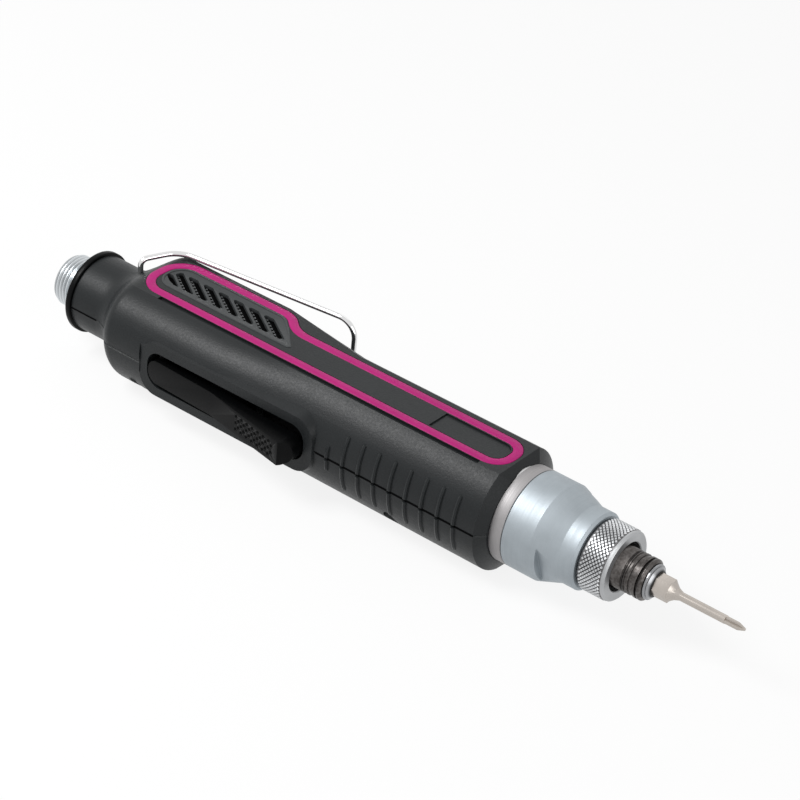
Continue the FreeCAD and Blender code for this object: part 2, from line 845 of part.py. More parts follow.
def paddle_pin_block(body, up):
    """Block beside the slot that holds one end of the paddle's hinge pin."""
    block_sketch = new_sketch(body, "pin_block", "XY_Plane", mirrored_half(up, slot_half))
    reach = size.paddle_pin_radius + size.pin_block_wall
    outline = block_outline(-(paddle_pin_x + reach), -(paddle_pin_x - reach),
                            -(paddle_pin_y + size.paddle_pin_radius), reach - paddle_pin_y)
    draw_outline(block_sketch, outline)
    extrude(body, "Pad", block_sketch, size.paddle_pin_reach, backwards=up < 0)
    hole = new_sketch(body, "pin_hole", "XY_Plane", ZERO)
    draw_circle(hole, -paddle_pin_x, -paddle_pin_y, size.paddle_pin_radius)
    extrude(body, "Pocket", hole, slot_half + size.paddle_pin_reach, backwards=up > 0)


def screw_places():
    """Front screws through the solid waist and rear ones through bosses behind the bay."""
    for side in SIDES:
        yield -front_screw_place, size.front_screw_spread * side
        yield -rear_screw_place, size.rear_screw_spread * side


def screw_bosses(body, up):
    boss = new_sketch(body, "screw_bosses", "XY_Plane", ZERO)
    for side in SIDES:
        draw_circle(boss, -rear_screw_place, size.rear_screw_spread * side, size.screw_boss_radius)
    extrude(body, "Pad", boss, size.screw_boss_height, backwards=up < 0)
    holes = new_sketch(body, "screw_holes", "XY_Plane", ZERO)
    for x, y in screw_places():
        draw_circle(holes, x, y, size.screw_radius)
    if up > 0:
        extrude(body, "Pocket", holes, size.screw_grip, backwards=True)
        return
    extrude(body, "Pocket", holes, size.bottom_drop)
    wells = new_sketch(body, "screw_wells", "XY_Plane", -size.screw_seat)
    for x, y in screw_places():
        draw_circle(wells, x, y, size.screw_head_radius + size.seat_clearance)
    extrude(body, "Pocket", wells, size.bottom_drop)


def bail_hole(body, up):
    """Pivot hole for one peg of the bail, in the solid of the shoulder."""
    hole = new_sketch(body, "bail_hole", "XY_Plane", mirrored_half(up, size.bottom_drop))
    draw_circle(hole, -bail_pivot_x, size.bail_pivot_offset, size.bail_wire / 2 + size.running_clearance)
    depth = size.bottom_drop - size.bail_peg_end + size.seat_clearance
    extrude(body, "Pocket", hole, depth, backwards=up < 0)


def grip_ridge(body, name, centre, side, up, angle):
    """One rounded ridge that runs round the grip from the parting line."""
    ridge = new_sketch(body, name, "XY_Plane", ZERO)
    half = size.ridge_width / 2
    crown = size.ridge_height + size.ridge_root
    bend_share = (crown.number ** 2 + half.number ** 2) / (2 * crown.number * half.number)
    base = (body_radius - size.ridge_root) * side
    draw_outline(ridge, [(centre - half, base), (centre + half, base)], {1: (half * bend_share, -side)})
    return ridge, spin(body, "Revolution", ridge, angle, backwards=side * up < 0)


def grip_ridges(body, up, side):
    """A row of raised finger ridges on one side of the grip, and a short one beside the paddle."""
    name = "near" if side < 0 else "far"
    last = -(size.first_ridge_place + size.ridge_pitch * RIDGES)
    grip_ridge(body, name + "_short_ridge", last, side, up, SHORT_RIDGE_ANGLE)
    first = -size.first_ridge_place
    ridge, turned_ridge = grip_ridge(body, name + "_ridge", first, side, up, RIDGE_ANGLES[up])
    row = body.newObject("PartDesign::LinearPattern", "%s_%s_ridge_row" % (body.Label, name))
    row.Originals = [turned_ridge]
    row.Direction = (ridge, ["H_Axis"])
    row.Reversed = True
    row.setExpression("Length", (size.ridge_pitch * (RIDGES - 1)).text)
    row.Occurrences = RIDGES
    body.Tip = row
    document.recompute()


band_bend_share = (SIZES["band_step_length"] ** 2 + SIZES["band_step_out"] ** 2) / (
    4 * SIZES["band_step_out"] * SIZES["band_step_length"])
band_bend = size.band_step_length * band_bend_share


def band_junction(inset):
    """Where the two bends of the band's sidestep meet, at a distance inside its outer edge."""
    share = (band_bend.number + inset.number) / (2 * band_bend.number)
    across = size.band_outer_half + band_bend - (band_bend * 2 - size.band_step_out) * share
    return -band_step_front - size.band_step_length * share, across


def band_loop(inset):
    """Closed outline that runs parallel to the band's outer edge, at a distance inside it."""
    near = size.band_outer_half - inset
    far = near + size.band_step_out
    front = -(band_front + inset)
    rear = inset - band_rear
    front_corner = size.band_front_corner - inset
    rear_corner = size.band_rear_corner - inset
    corners = [
        (rear + rear_corner, -near), (front - front_corner, -near),
        (front, front_corner - near), (front, near - front_corner),
        (front - front_corner, near), (-band_step_front, near),
        band_junction(inset),
        (-band_step_rear, far), (rear + rear_corner, far),
        (rear, far - rear_corner), (rear, rear_corner - near),
    ]
    arcs = {
        1: (front_corner, -1), 3: (front_corner, -1), 5: (band_bend + inset, 1),
        6: (band_bend - inset, -1), 8: (rear_corner, -1), 10: (rear_corner, -1),
    }
    return corners, arcs


def grille_loop(inset):
    """Teardrop outline of the vent grille inside the band's wide end."""
    offset = size.band_width + size.grille_margin + inset
    near = size.grille_near_edge - inset
    far = size.band_outer_half + size.band_step_out - offset
    rear = offset - band_rear
    corner = size.band_rear_corner - offset
    tip = -(shoulder_front - size.grille_tip_place) - inset
    bend = band_bend + offset
    heel = tip - size.grille_tip_run
    run_share = (-band_step_front.number - heel.number) / bend.number
    heel_across = size.band_outer_half + band_bend - bend * math.sqrt(1 - run_share ** 2)
    round_tip = size.grille_tip_radius
    corners = [
        (rear + corner, -near), (tip - round_tip, -near), (tip, round_tip - near),
        (heel, heel_across), band_junction(offset), (-band_step_rear, far),
        (rear + corner, far), (rear, far - corner), (rear, corner - near),
    ]
    arcs = {
        1: (round_tip, -1), 3: (bend, 1), 4: (band_bend - offset, -1), 6: (corner, -1), 8: (corner, -1),
    }
    return corners, arcs


def top_features(body):
    """Band groove, valley beside it, grille tray, air opening and thumb recess in the top face."""
    above = top_height + size.cut_overrun
    groove = new_sketch(body, "band_groove", "XY_Plane", above)
    draw_outline(groove, *band_loop(-size.band_groove_gap))
    draw_outline(groove, *band_loop(size.band_width + size.band_groove_gap))
    extrude(body, "Pocket", groove, size.band_depth + size.cut_overrun)
    valley = new_sketch(body, "valley", "XY_Plane", above)
    inner = size.band_outer_half + size.band_groove_gap + size.valley_gap
    draw_outline(valley, block_outline(
        size.band_rear_corner - shoulder_front, -(band_front + size.band_front_corner),
        -(inner + size.valley_width), -inner))
    extrude(body, "Pocket", valley, size.valley_depth + size.cut_overrun)
    tray = new_sketch(body, "grille_tray", "XY_Plane", above)
    draw_outline(tray, *grille_loop(-size.running_clearance))
    extrude(body, "Pocket", tray, size.grille_sink + size.grille_thickness + size.cut_overrun)
    opening = new_sketch(body, "air_opening", "XY_Plane", above)
    draw_outline(opening, *grille_loop(size.grille_ledge))
    extrude(body, "Pocket", opening, size.top_wall + size.air_opening_reach + size.cut_overrun)
    recess = new_sketch(body, "thumb_recess", "XY_Plane", above)
    half = size.band_outer_half - size.band_width - size.thumb_recess_gap
    front = -(band_front + size.band_width + size.thumb_recess_gap)
    corner = size.band_front_corner - size.band_width - size.thumb_recess_gap
    draw_outline(recess, [
        (front - size.thumb_recess_length, -half), (front - corner, -half), (front, corner - half),
        (front, half - corner), (front - corner, half), (front - size.thumb_recess_length, half),
    ], {1: (corner, -1), 3: (corner, -1)})
    extrude(body, "Pocket", recess, size.thumb_recess_depth + size.cut_overrun)


def board_posts(body):
    """Posts under the roof that the circuit board is held against."""
    posts = new_sketch(body, "board_posts", "XY_Plane", board_top)
    across = size.board_width / 2 - size.board_post_radius
    for x in (-board_front - size.board_post_radius, size.board_post_radius - board_rear):
        for side in SIDES:
            draw_circle(posts, x, across * side, size.board_post_radius)
    extrude(body, "Pad", posts, roof_height - board_top)


def switch_rest(body):
    """Pedestal on the floor of the bay that carries the start switch."""
    rest = new_sketch(body, "switch_rest", "XY_Plane", -(size.switch_height / 2))
    outer = switch_inner + size.switch_rest_width
    draw_outline(rest, block_outline(-switch_rear, -switch_front, -outer, -switch_inner))
    extrude(body, "Pad", rest, size.switch_rest_height, backwards=True)


def build_shell(label, up):
    body = new_body(label)
    outer_form(body, up)
    hollow(body, up)
    paddle_surround(body, up)
    side_openings(body, up)
    paddle_pin_block(body, up)
    screw_bosses(body, up)
    bail_hole(body, up)
    if up > 0:
        top_features(body)
        board_posts(body)
    else:
        switch_rest(body)
    for side in SIDES:
        grip_ridges(body, up, side)
    return body


def softened(corners, radius):
    """The same outline with each of its corners rounded."""
    flat = [FreeCAD.Vector(across.number, rise.number, 0) for across, rise in corners]
    turning = sum(spot.x * after.y - after.x * spot.y for spot, after in zip(flat, flat[1:] + flat[:1]))
    rounded = []
    arcs = {}
    for number, (across, rise) in enumerate(corners):
        back = (flat[number - 1] - flat[number]).normalize()
        ahead = (flat[(number + 1) % len(flat)] - flat[number]).normalize()
        run = radius * (1 / math.tan(back.getAngle(ahead) / 2))
        rounded.append((across + run * back.x, rise + run * back.y))
        arcs[len(rounded) - 1] = (radius, -1 if turning > 0 else 1)
        rounded.append((across + run * ahead.x, rise + run * ahead.y))
    return rounded, arcs


def build_top_trim():
    """Accent band, vent grille and the screen behind it."""
    band = new_body("accent_band")
    loop = new_sketch(band, "loop", "XY_Plane", top_height - size.band_depth)
    draw_outline(loop, *band_loop(ZERO))
    draw_outline(loop, *band_loop(size.band_width))
    extrude(band, "Pad", loop, size.band_depth + size.band_proud)

    grille = new_body("vent_grille")
    grille_top = top_height - size.grille_sink
    plate = new_sketch(grille, "plate", "XY_Plane", grille_top - size.grille_thickness)
    draw_outline(plate, *grille_loop(ZERO))
    extrude(grille, "Pad", plate, size.grille_thickness + size.grille_rim_height)
    field = new_sketch(grille, "field", "XY_Plane", grille_top + size.grille_rim_height)
    draw_outline(field, *grille_loop(size.grille_rim_width))
    extrude(grille, "Pocket", field, size.grille_rim_height)
    top = size.vent_slot_top
    foot = -size.vent_slot_foot
    width = size.vent_slot_width
    slant = size.vent_slot_slant
    start = size.vent_slot_place - shoulder_front
    slot = new_sketch(grille, "slot", "XY_Plane", grille_top)
    draw_outline(slot, *softened([
        (start, top), (start + slant, foot), (start + slant + width, foot), (start + width, top),
    ], size.vent_slot_corner))
    first_slot = extrude(grille, "Pocket", slot, size.grille_thickness)
    row = grille.newObject("PartDesign::LinearPattern", "vent_slot_row")
    row.Originals = [first_slot]
    row.Direction = (slot, ["H_Axis"])
    row.setExpression("Length", (size.vent_slot_pitch * (FULL_SLOTS - 1)).text)
    row.Occurrences = FULL_SLOTS
    grille.Tip = row
    document.recompute()
    ends = new_sketch(grille, "rear_slots", "XY_Plane", grille_top)
    for pitches, cut_shares in REAR_SLOTS:
        edge = start - size.vent_slot_pitch * pitches
        rise = top - foot
        corners = []
        for across_share, down_share in cut_shares:
            x = edge + slant * down_share + width * across_share
            corners.append((x, top - rise * down_share))
        draw_outline(ends, *softened(corners, size.vent_slot_corner / 2))
    extrude(grille, "Pocket", ends, size.grille_thickness)

    screen = new_body("vent_screen")
    sheet_outline = new_sketch(
        screen, "outline", "XY_Plane", grille_top - size.grille_thickness - size.screen_thickness)
    draw_outline(sheet_outline, *grille_loop(size.grille_ledge + size.running_clearance))
    extrude(screen, "Pad", sheet_outline, size.screen_thickness)


def build_tail():
    """Tail ring that binds the shells, and the cord's screw connector."""
    spigot = size.neck_radius - size.tail_spigot_wall
    ring_outer = size.neck_radius + size.tail_ring_height
    tube("tail_ring", -tail_rear, -neck_rear, spigot + size.running_clearance, ring_outer)
    flange_rear = tail_rear + size.connector_flange_width
    end = flange_rear + size.connector_length
    stem = size.connector_stem_radius
    tube("connector_flange", -flange_rear, -tail_rear, stem + size.running_clearance,
         size.connector_flange_radius)
    bore = size.connector_radius - size.connector_wall
    floor = flange_rear + size.connector_floor
    turned("connector_barrel", [
        (-end, bore), (-floor, bore), (-floor, ZERO),
        (size.connector_stem_length - tail_rear, ZERO), (size.connector_stem_length - tail_rear, stem),
        (-flange_rear, stem), (-flange_rear, size.connector_radius), (-end, size.connector_radius),
    ])
    insert_front = -floor
    insert_rear = size.insert_recess - end
    insert = new_body("connector_insert")
    disc = new_sketch(insert, "disc", "YZ_Plane", insert_rear)
    draw_circle(disc, ZERO, ZERO, bore - size.running_clearance)
    contacts = []
    for number in range(CONTACTS):
        angle = 2 * math.pi * number / CONTACTS
        across = size.contact_circle * math.sin(angle)
        rise = size.contact_circle * math.cos(angle)
        draw_circle(disc, across, rise, size.contact_radius)
        contacts.append(cylinder("contact_%d" % number, size.contact_radius, insert_front - insert_rear,
                                 insert_rear, across, rise, ALONG_X))
    extrude(insert, "Pad", disc, insert_front - insert_rear)
    group("connector_contacts", contacts)


def build_screws():
    """Four case screws, driven up from the wells in the lower shell."""
    screws = []
    for number, (x, y) in enumerate(screw_places()):
        seat = -size.screw_seat
        shank = cylinder("screw_shank_%d" % number, size.screw_radius - size.running_clearance,
                         size.screw_seat + size.screw_grip - size.seat_clearance, x, y, seat)
        head = cylinder("screw_head_%d" % number, size.screw_head_radius, size.screw_head_height,
                        x, y, seat - size.screw_head_height)
        screws.append(fuse("case_screw_%d" % number, [shank, head]))
    group("case_screws", screws)


def build_nose():
    """Nose flange, nose cone with its two wrench flats, and the gear case that they screw on."""
    tube("nose_flange", ZERO, flange_front, spigot_radius + size.running_clearance, nose_radius)
    cone = turned("nose_cone", [
        (flange_front, spigot_radius + size.running_clearance),
        (seat_stop, spigot_radius + size.running_clearance), (seat_stop, nose_bore),
        (nose_front, nose_bore), (nose_front, nose_tip_radius - size.nose_edge),
        (nose_front - size.nose_edge, nose_tip_radius), (taper_front, nose_tip_radius),
        (taper_rear, nose_radius), (flange_front + size.nose_seam, nose_radius),
        (flange_front, nose_radius - size.nose_seam),
    ])
    flats = new_sketch(cone, "flats", "YZ_Plane", nose_front)
    near = nose_radius - size.nose_flat_depth
    for side in SIDES:
        draw_outline(flats, block_outline_between(near * side, (nose_radius + size.cut_overrun) * side,
                                                  -nose_radius, nose_radius))
    flats.AttachmentOffset.Rotation = FreeCAD.Rotation(FreeCAD.Vector(0, 0, 1), FLAT_ANGLE)
    extrude(cone, "Pocket", flats, nose_front - flange_front - size.nose_flat_start)

    web_bore = size.shaft_radius + size.running_clearance + size.spindle_bush_wall
    case = turned("gear_case", [
        (-case_rear, ring_gear_radius), (-web_rear, ring_gear_radius), (-web_rear, web_bore),
        (-web_front, web_bore), (-web_front, spigot_bore), (spigot_front, spigot_bore),
        (spigot_front, spigot_radius), (ZERO, spigot_radius), (ZERO, case_radius),
        (-case_rear, case_radius),
    ])
    ball_radius = size.clutch_web_thickness / 2
    holes = new_sketch(case, "ball_holes", "YZ_Plane", -web_front)
    balls = []
    for number in range(CLUTCH_BALLS):
        angle = 2 * math.pi * number / CLUTCH_BALLS
        across = size.clutch_ball_circle * math.sin(angle)
        rise = size.clutch_ball_circle * math.cos(angle)
        draw_circle(holes, across, rise, ball_radius + size.running_clearance)
        ball = document.addObject("Part::Sphere", "clutch_ball_%d" % number)
        ball.setExpression("Radius", ball_radius.text)
        place(ball, -web_front - ball_radius, across, rise)
        balls.append(ball)
    extrude(case, "Pocket", holes, size.clutch_web_thickness)
    group("clutch_balls", balls)
    tube("spindle_bush", -web_rear, -web_front, size.shaft_radius + size.running_clearance, web_bore)
    tube("gear_cover", -case_rear, -cover_front, size.motor_shaft_radius + size.gear_side_clearance,
         ring_gear_radius)
    tube("clutch_plate", -web_front, ZERO, size.shaft_radius + size.gear_side_clearance,
         spigot_bore - size.running_clearance)


def block_outline_between(first, second, low, high):
    """A rectangle whose two sides are given in either order."""
    if first.number < second.number:
        return block_outline(first, second, low, high)
    return block_outline(second, first, low, high)


def build_torque_ring():
    """Torque ring with its screwed tail, the bush in it, the spring and its seat washer."""
    bush_outer = size.shaft_radius + size.running_clearance + size.spindle_bush_wall
    bush_front = seat_front + size.nose_bush_length
    chamfer = size.ring_chamfer
    turned("torque_ring", [
        (seat_front, bush_outer), (bush_front, bush_outer), (bush_front, ring_bore),
        (ring_front, ring_bore),
        (ring_front, ring_radius - chamfer), (ring_front - chamfer, ring_radius),
        (ring_rear + chamfer / 2, ring_radius), (ring_rear, ring_radius - chamfer / 2),
        (ring_rear, ring_tail_radius), (seat_front, ring_tail_radius),
    ])
    tube("nose_bush", seat_front, bush_front, size.shaft_radius + size.running_clearance, bush_outer)
    tube("spring_seat", spigot_front, seat_front, size.shaft_radius + size.gear_side_clearance,
         spigot_bore - size.running_clearance)


def coil(label, wire, radius, start, end, turns, placement):
    """A compression spring between two seats, bent from half turns that lean to and fro."""
    rise = (end - start - wire.number) / (2 * turns)
    bend = math.hypot(radius.number, rise / 2)
    low = start + wire.number / 2
    edges = []
    for half_turn in range(2 * turns):
        side = 1 if half_turn % 2 == 0 else -1
        first = FreeCAD.Vector(side * radius.number, 0, low)
        middle = FreeCAD.Vector(0, side * bend, low + rise / 2)
        last = FreeCAD.Vector(-side * radius.number, 0, low + rise)
        edges.append(Part.Arc(first, middle, last).toShape())
        low += rise
    path = Part.Wire(edges)
    ring = Part.Wire(Part.makeCircle(wire.number / 2, edges[0].Vertexes[0].Point, FreeCAD.Vector(0, 1, 0)))
    shape = path.makePipeShell([ring], True, False)
    print(label, "least gap between turns", round(2 * rise - wire.number, 3))
    return shaped(label, shape, placement)


def build_springs():
    turn_x = FreeCAD.Placement(FreeCAD.Vector(), ALONG_X)
    coil("torque_spring", size.torque_wire, size.torque_coil_radius, 0, spigot_front.number,
         TORQUE_TURNS, turn_x)
    coil("sleeve_spring", size.sleeve_spring_wire, sleeve_spring_radius, sleeve_shoulder.number,
         sleeve_pocket_front.number, SLEEVE_TURNS, turn_x)
    lift = FreeCAD.Vector(-plunger_x.number, -switch_outer.number, 0)
    turn_y = FreeCAD.Placement(lift, FreeCAD.Rotation(FreeCAD.Vector(1, 0, 0), 90))
    coil("paddle_spring", size.paddle_spring_wire, size.paddle_spring_radius, 0, size.plunger_length.number,
         PADDLE_TURNS, turn_y)


def hexagon(sketch, corner_radius):
    corners = []
    for number in range(HEX_SIDES):
        angle = 2 * math.pi * number / HEX_SIDES
        corners.append((corner_radius * math.cos(angle), corner_radius * math.sin(angle)))
    corners = [(across, ZERO if abs(rise.number) < TINY else rise) for across, rise in corners]
    draw_outline(sketch, corners)


def build_spindle():
    """Spindle with its hex socket, bit, retaining balls, chuck sleeve and clip."""
    shaft = size.shaft_radius
    nose = size.spindle_radius
    clip_rear = sleeve_front + size.seat_clearance
    clip_front = clip_rear + size.clip_width
    tail = size.spindle_tail_radius
    spindle = turned("spindle", [
        (-carrier_2_rear, ZERO), (-carrier_2_rear, tail), (-carrier_2_front, tail),
        (-carrier_2_front, shaft),
        (sleeve_shoulder, shaft), (sleeve_shoulder, nose), (clip_rear, nose),
        (clip_rear, nose - size.clip_height), (clip_front, nose - size.clip_height), (clip_front, nose),
        (spindle_front - size.spindle_lip, nose), (spindle_front, nose - size.spindle_lip),
        (spindle_front, ZERO),
    ])
    socket = new_sketch(spindle, "socket", "YZ_Plane", spindle_front)
    hexagon(socket, hex_corner_radius + size.running_clearance)
    extrude(spindle, "Pocket", socket, size.hex_depth)
    ball_radius = size.bit_ball_radius
    ball_x = sleeve_front - size.bit_ball_place
    ball_circle = size.hex_flats / 2 + size.running_clearance + ball_radius
    holes = new_sketch(spindle, "ball_holes", "XY_Plane", nose + size.cut_overrun)
    draw_circle(holes, ball_x, ZERO, ball_radius + size.running_clearance)
    extrude(spindle, "Pocket", holes, (nose + size.cut_overrun) * 2)
    balls = []
    for side in SIDES:
        ball = document.addObject("Part::Sphere", "bit_ball_%d" % (side + 1))
        ball.setExpression("Radius", ball_radius.text)
        place(ball, ball_x, ZERO, ball_circle * side)
        balls.append(ball)
    group("bit_balls", balls)
    groove = sleeve_front - size.sleeve_groove_place
    depth = size.sleeve_groove_depth
    chamfer = size.sleeve_chamfer
    pocket_radius = sleeve_bore + size.sleeve_pocket_depth
    turned("bit_sleeve", [
        (sleeve_rear, pocket_radius), (sleeve_pocket_front, pocket_radius),
        (sleeve_pocket_front, sleeve_bore),
        (sleeve_front, sleeve_bore), (sleeve_front, sleeve_radius - chamfer),
        (sleeve_front - chamfer, sleeve_radius), (groove, sleeve_radius), (groove, sleeve_radius - depth),
        (groove - size.sleeve_groove_width, sleeve_radius - depth),
        (groove - size.sleeve_groove_width, sleeve_radius), (sleeve_rear, sleeve_radius),
    ])
    tube("sleeve_clip", clip_rear, clip_front, nose - size.clip_height, nose + size.clip_height)

    bit = new_body("driver_bit")
    hex_rear = spindle_front - size.hex_depth + size.seat_clearance
    shank = new_sketch(bit, "shank", "YZ_Plane", hex_rear)
    hexagon(shank, hex_corner_radius)
    extrude(bit, "Pad", shank, hex_front - hex_rear)
    blade = new_sketch(bit, "blade", "XY_Plane", ZERO)
    flat = size.hex_flats / 2
    draw_outline(blade, [
        (hex_front - size.cut_overrun, ZERO), (hex_front - size.cut_overrun, flat), (hex_front, flat),
        (hex_front + size.bit_taper_length * TAPER_KNEE_SHARES[0],
         size.bit_shaft_radius + (flat - size.bit_shaft_radius) * TAPER_KNEE_SHARES[1]),
        (bit_taper_front, size.bit_shaft_radius), (bit_tip - size.bit_point_length, size.bit_shaft_radius),
        (bit_tip, size.bit_point_radius), (bit_tip, ZERO),
    ])
    spin(bit, "Revolution", blade)
    flutes = new_sketch(bit, "flutes", "YZ_Plane", bit_tip)
    wing = size.bit_wing_half
    clear = size.bit_shaft_radius * 2
    for across_side in SIDES:
        for rise_side in SIDES:
            draw_outline(flutes, [
                (wing * across_side, wing * rise_side), (clear * across_side, wing * rise_side),
                (clear * across_side, clear * rise_side), (wing * across_side, clear * rise_side),
            ])
    extrude(bit, "Pocket", flutes, size.bit_flute_length)


def gear_points(teeth, internal):
    """Outline of straight-flanked teeth, four corners each, with a tooth on the first axis."""
    module = SIZES["gear_module"]
    pitch_radius = module * teeth / 2
    inward = -1 if internal else 1
    tip = pitch_radius + inward * ADDENDUM_SHARE * module
    root = pitch_radius - inward * DEDENDUM_SHARE * module
    half = math.pi * module / 4 - SIZES["gear_backlash"] / 2
    slope = math.tan(math.radians(PRESSURE_ANGLE))
    tip_half = half - abs(tip - pitch_radius) * slope
    root_half = half + abs(root - pitch_radius) * slope
    points = []
    for tooth in range(teeth):
        centre = 2 * math.pi * tooth / teeth
        for radius, width in ((root, -root_half), (tip, -tip_half), (tip, tip_half), (root, root_half)):
            angle = centre + width / radius
            points.append(FreeCAD.Vector(0, radius * math.cos(angle), radius * math.sin(angle)))
    return points + points[:1]


def gear(label, teeth, rear, front, bore=None, rim=None, centre=None, turn=0):
    """A spur gear along the spindle: an external one with a bore, or an internal one with a rim."""
    outline = Part.Face(Part.makePolygon(gear_points(teeth, internal=rim is not None)))
    rounds = bore if rim is None else rim
    disc = Part.Face(Part.Wire(Part.makeCircle(rounds.number, FreeCAD.Vector(), FreeCAD.Vector(1, 0, 0))))
    face = outline.cut(disc) if rim is None else disc.cut(outline)
    shape = face.Faces[0].extrude(FreeCAD.Vector(front.number - rear.number, 0, 0))
    lift = centre or FreeCAD.Vector()
    spot = FreeCAD.Vector(rear.number, lift.y, lift.z)
    return shaped(label, shape, FreeCAD.Placement(spot, FreeCAD.Rotation(FreeCAD.Vector(1, 0, 0), turn)))


def planet_angles():
    return [FULL_TURN * number / PLANETS for number in range(PLANETS)]


def planet_places():
    for angle in planet_angles():
        turn = math.radians(angle)
        yield angle, planet_circle * math.cos(turn), planet_circle * math.sin(turn)


def carrier(label, rear, front, pin_reach, bore, stub_reach=None):
    """Disc with a pin for each planet behind it, and a stub for the next sun in front."""
    body = new_body(label)
    disc = new_sketch(body, "disc", "YZ_Plane", rear)
    draw_circle(disc, ZERO, ZERO, carrier_radius)
    if stub_reach is None:
        draw_circle(disc, ZERO, ZERO, bore)
    extrude(body, "Pad", disc, front - rear)
    pins = new_sketch(body, "pins", "YZ_Plane", rear)
    for turn, across, rise in planet_places():
        draw_circle(pins, across, rise if abs(rise.number) > TINY else ZERO, size.planet_pin_radius)
    extrude(body, "Pad", pins, pin_reach, backwards=True)
    if stub_reach is not None:
        stub = new_sketch(body, "stub", "YZ_Plane", front)
        draw_circle(stub, ZERO, ZERO, bore)
        extrude(body, "Pad", stub, stub_reach)
    return body


def build_gears():
    """Two planetary stages inside one long ring gear."""
    gear("ring_gear", RING_TEETH, -cover_front, -web_rear, rim=ring_gear_radius)
    half_pitch = FULL_TURN / PLANET_TEETH / 2
    stages = ((1, planet_1_rear, planet_1_front), (2, planet_2_rear, planet_2_front))
    bore = size.planet_pin_radius + size.running_clearance
    for stage, rear, front in stages:
        gear("sun_gear_%d" % stage, SUN_TEETH, -rear, -front, bore=size.pinion_shaft_radius)
        for letter, (angle, across, rise) in zip("abc", planet_places()):
            centre = FreeCAD.Vector(0, across.number, rise.number)
            gear("planet_gear_%d%s" % (stage, letter), PLANET_TEETH, -rear, -front, bore=bore,
                 centre=centre, turn=angle + half_pitch)
    carrier("planet_carrier_1", -carrier_1_rear, -carrier_1_front, size.planet_face,
            size.pinion_shaft_radius, planet_2_rear - planet_2_front)
    carrier("planet_carrier_2", -carrier_2_rear, -carrier_2_front, size.planet_face,
            size.spindle_tail_radius)


def build_motor():
    """Brushless motor: can, end plates, bearings, wound stator and magnet rotor."""
    can_front = -(waist_rear + size.motor_plate_thickness)
    can_rear = size.motor_plate_thickness - motor_rear
    bore = motor_radius - size.motor_wall
    tube("motor_can", can_rear, can_front, bore, motor_radius)
    bearing = size.motor_bearing_radius
    shaft = size.motor_shaft_radius
    bearing_front = can_front + size.motor_bearing_width
    relief = shaft + size.gear_side_clearance
    turned("motor_front_plate", [
        (can_front, bearing), (bearing_front, bearing), (bearing_front, relief), (-waist_front, relief),
        (-waist_front, size.motor_spigot_radius), (-waist_rear, size.motor_spigot_radius),
        (-waist_rear, motor_radius), (can_front, motor_radius),
    ])
    tube("front_motor_bearing", can_front, bearing_front, shaft, bearing)
    bearing_rear = can_rear - size.motor_bearing_width
    cap_rear = -bulkhead_rear - size.motor_plate_thickness
    turned("motor_end_cap", [
        (can_rear, bearing), (bearing_rear, bearing), (bearing_rear, ZERO), (cap_rear, ZERO),
        (cap_rear, size.motor_rear_spigot_radius), (-motor_rear, size.motor_rear_spigot_radius),
        (-motor_rear, motor_radius), (can_rear, motor_radius),
    ])
    tube("rear_motor_bearing", bearing_rear, can_rear, shaft, bearing)
    middle = (can_front + can_rear) / 2
    magnet_half = size.magnet_length / 2
    tube("rotor_magnet", middle - magnet_half, middle + magnet_half, shaft, size.magnet_radius)
    neck = -case_rear
    shaft_rear = bearing_rear + size.seat_clearance
    pinion_shaft = size.pinion_shaft_radius
    turned("rotor_shaft", [
        (shaft_rear, ZERO), (shaft_rear, shaft), (neck, shaft), (neck, pinion_shaft),
        (-planet_1_front, pinion_shaft), (-planet_1_front, ZERO),
    ])
    stator_half = size.stator_length / 2
    core = new_body("stator_core")
    yoke = new_sketch(core, "yoke", "YZ_Plane", middle - stator_half)
    draw_circle(yoke, ZERO, ZERO, bore)
    draw_circle(yoke, ZERO, ZERO, bore - size.stator_yoke)
    extrude(core, "Pad", yoke, size.stator_length)
    tooth = new_sketch(core, "tooth", "YZ_Plane", middle - stator_half)
    tooth_half = size.stator_tooth_width / 2
    tooth_inner = size.magnet_radius + size.air_gap
    draw_outline(tooth, block_outline(-tooth_half, tooth_half, tooth_inner, bore - size.stator_yoke / 2))
    first_tooth = extrude(core, "Pad", tooth, size.stator_length)
    teeth = core.newObject("PartDesign::PolarPattern", "stator_teeth")
    teeth.Originals = [first_tooth]
    teeth.Axis = (tooth, ["N_Axis"])
    teeth.Angle = FULL_TURN
    teeth.Occurrences = STATOR_TEETH
    core.Tip = teeth
    document.recompute()
    coils = []
    coil_length = size.stator_length + size.coil_overhang * 2
    coil_width = size.stator_tooth_width + size.coil_thickness * 2
    low = tooth_inner + size.coil_thickness
    height = bore - size.stator_yoke - size.coil_thickness - low
    for number in range(STATOR_TEETH):
        outer = block("coil_form_%d" % number, coil_length, coil_width, height,
                      middle - coil_length / 2, coil_width / -2, low)
        core_gap = block("coil_gap_%d" % number, size.stator_length, size.stator_tooth_width, height,
                         middle - stator_half, -tooth_half, low)
        winding = cut("winding_%d" % number, outer, core_gap)
        winding.Placement = FreeCAD.Placement(
            FreeCAD.Vector(), FreeCAD.Rotation(FreeCAD.Vector(1, 0, 0), FULL_TURN * number / STATOR_TEETH))
        coils.append(winding)
    group("stator_coils", coils)


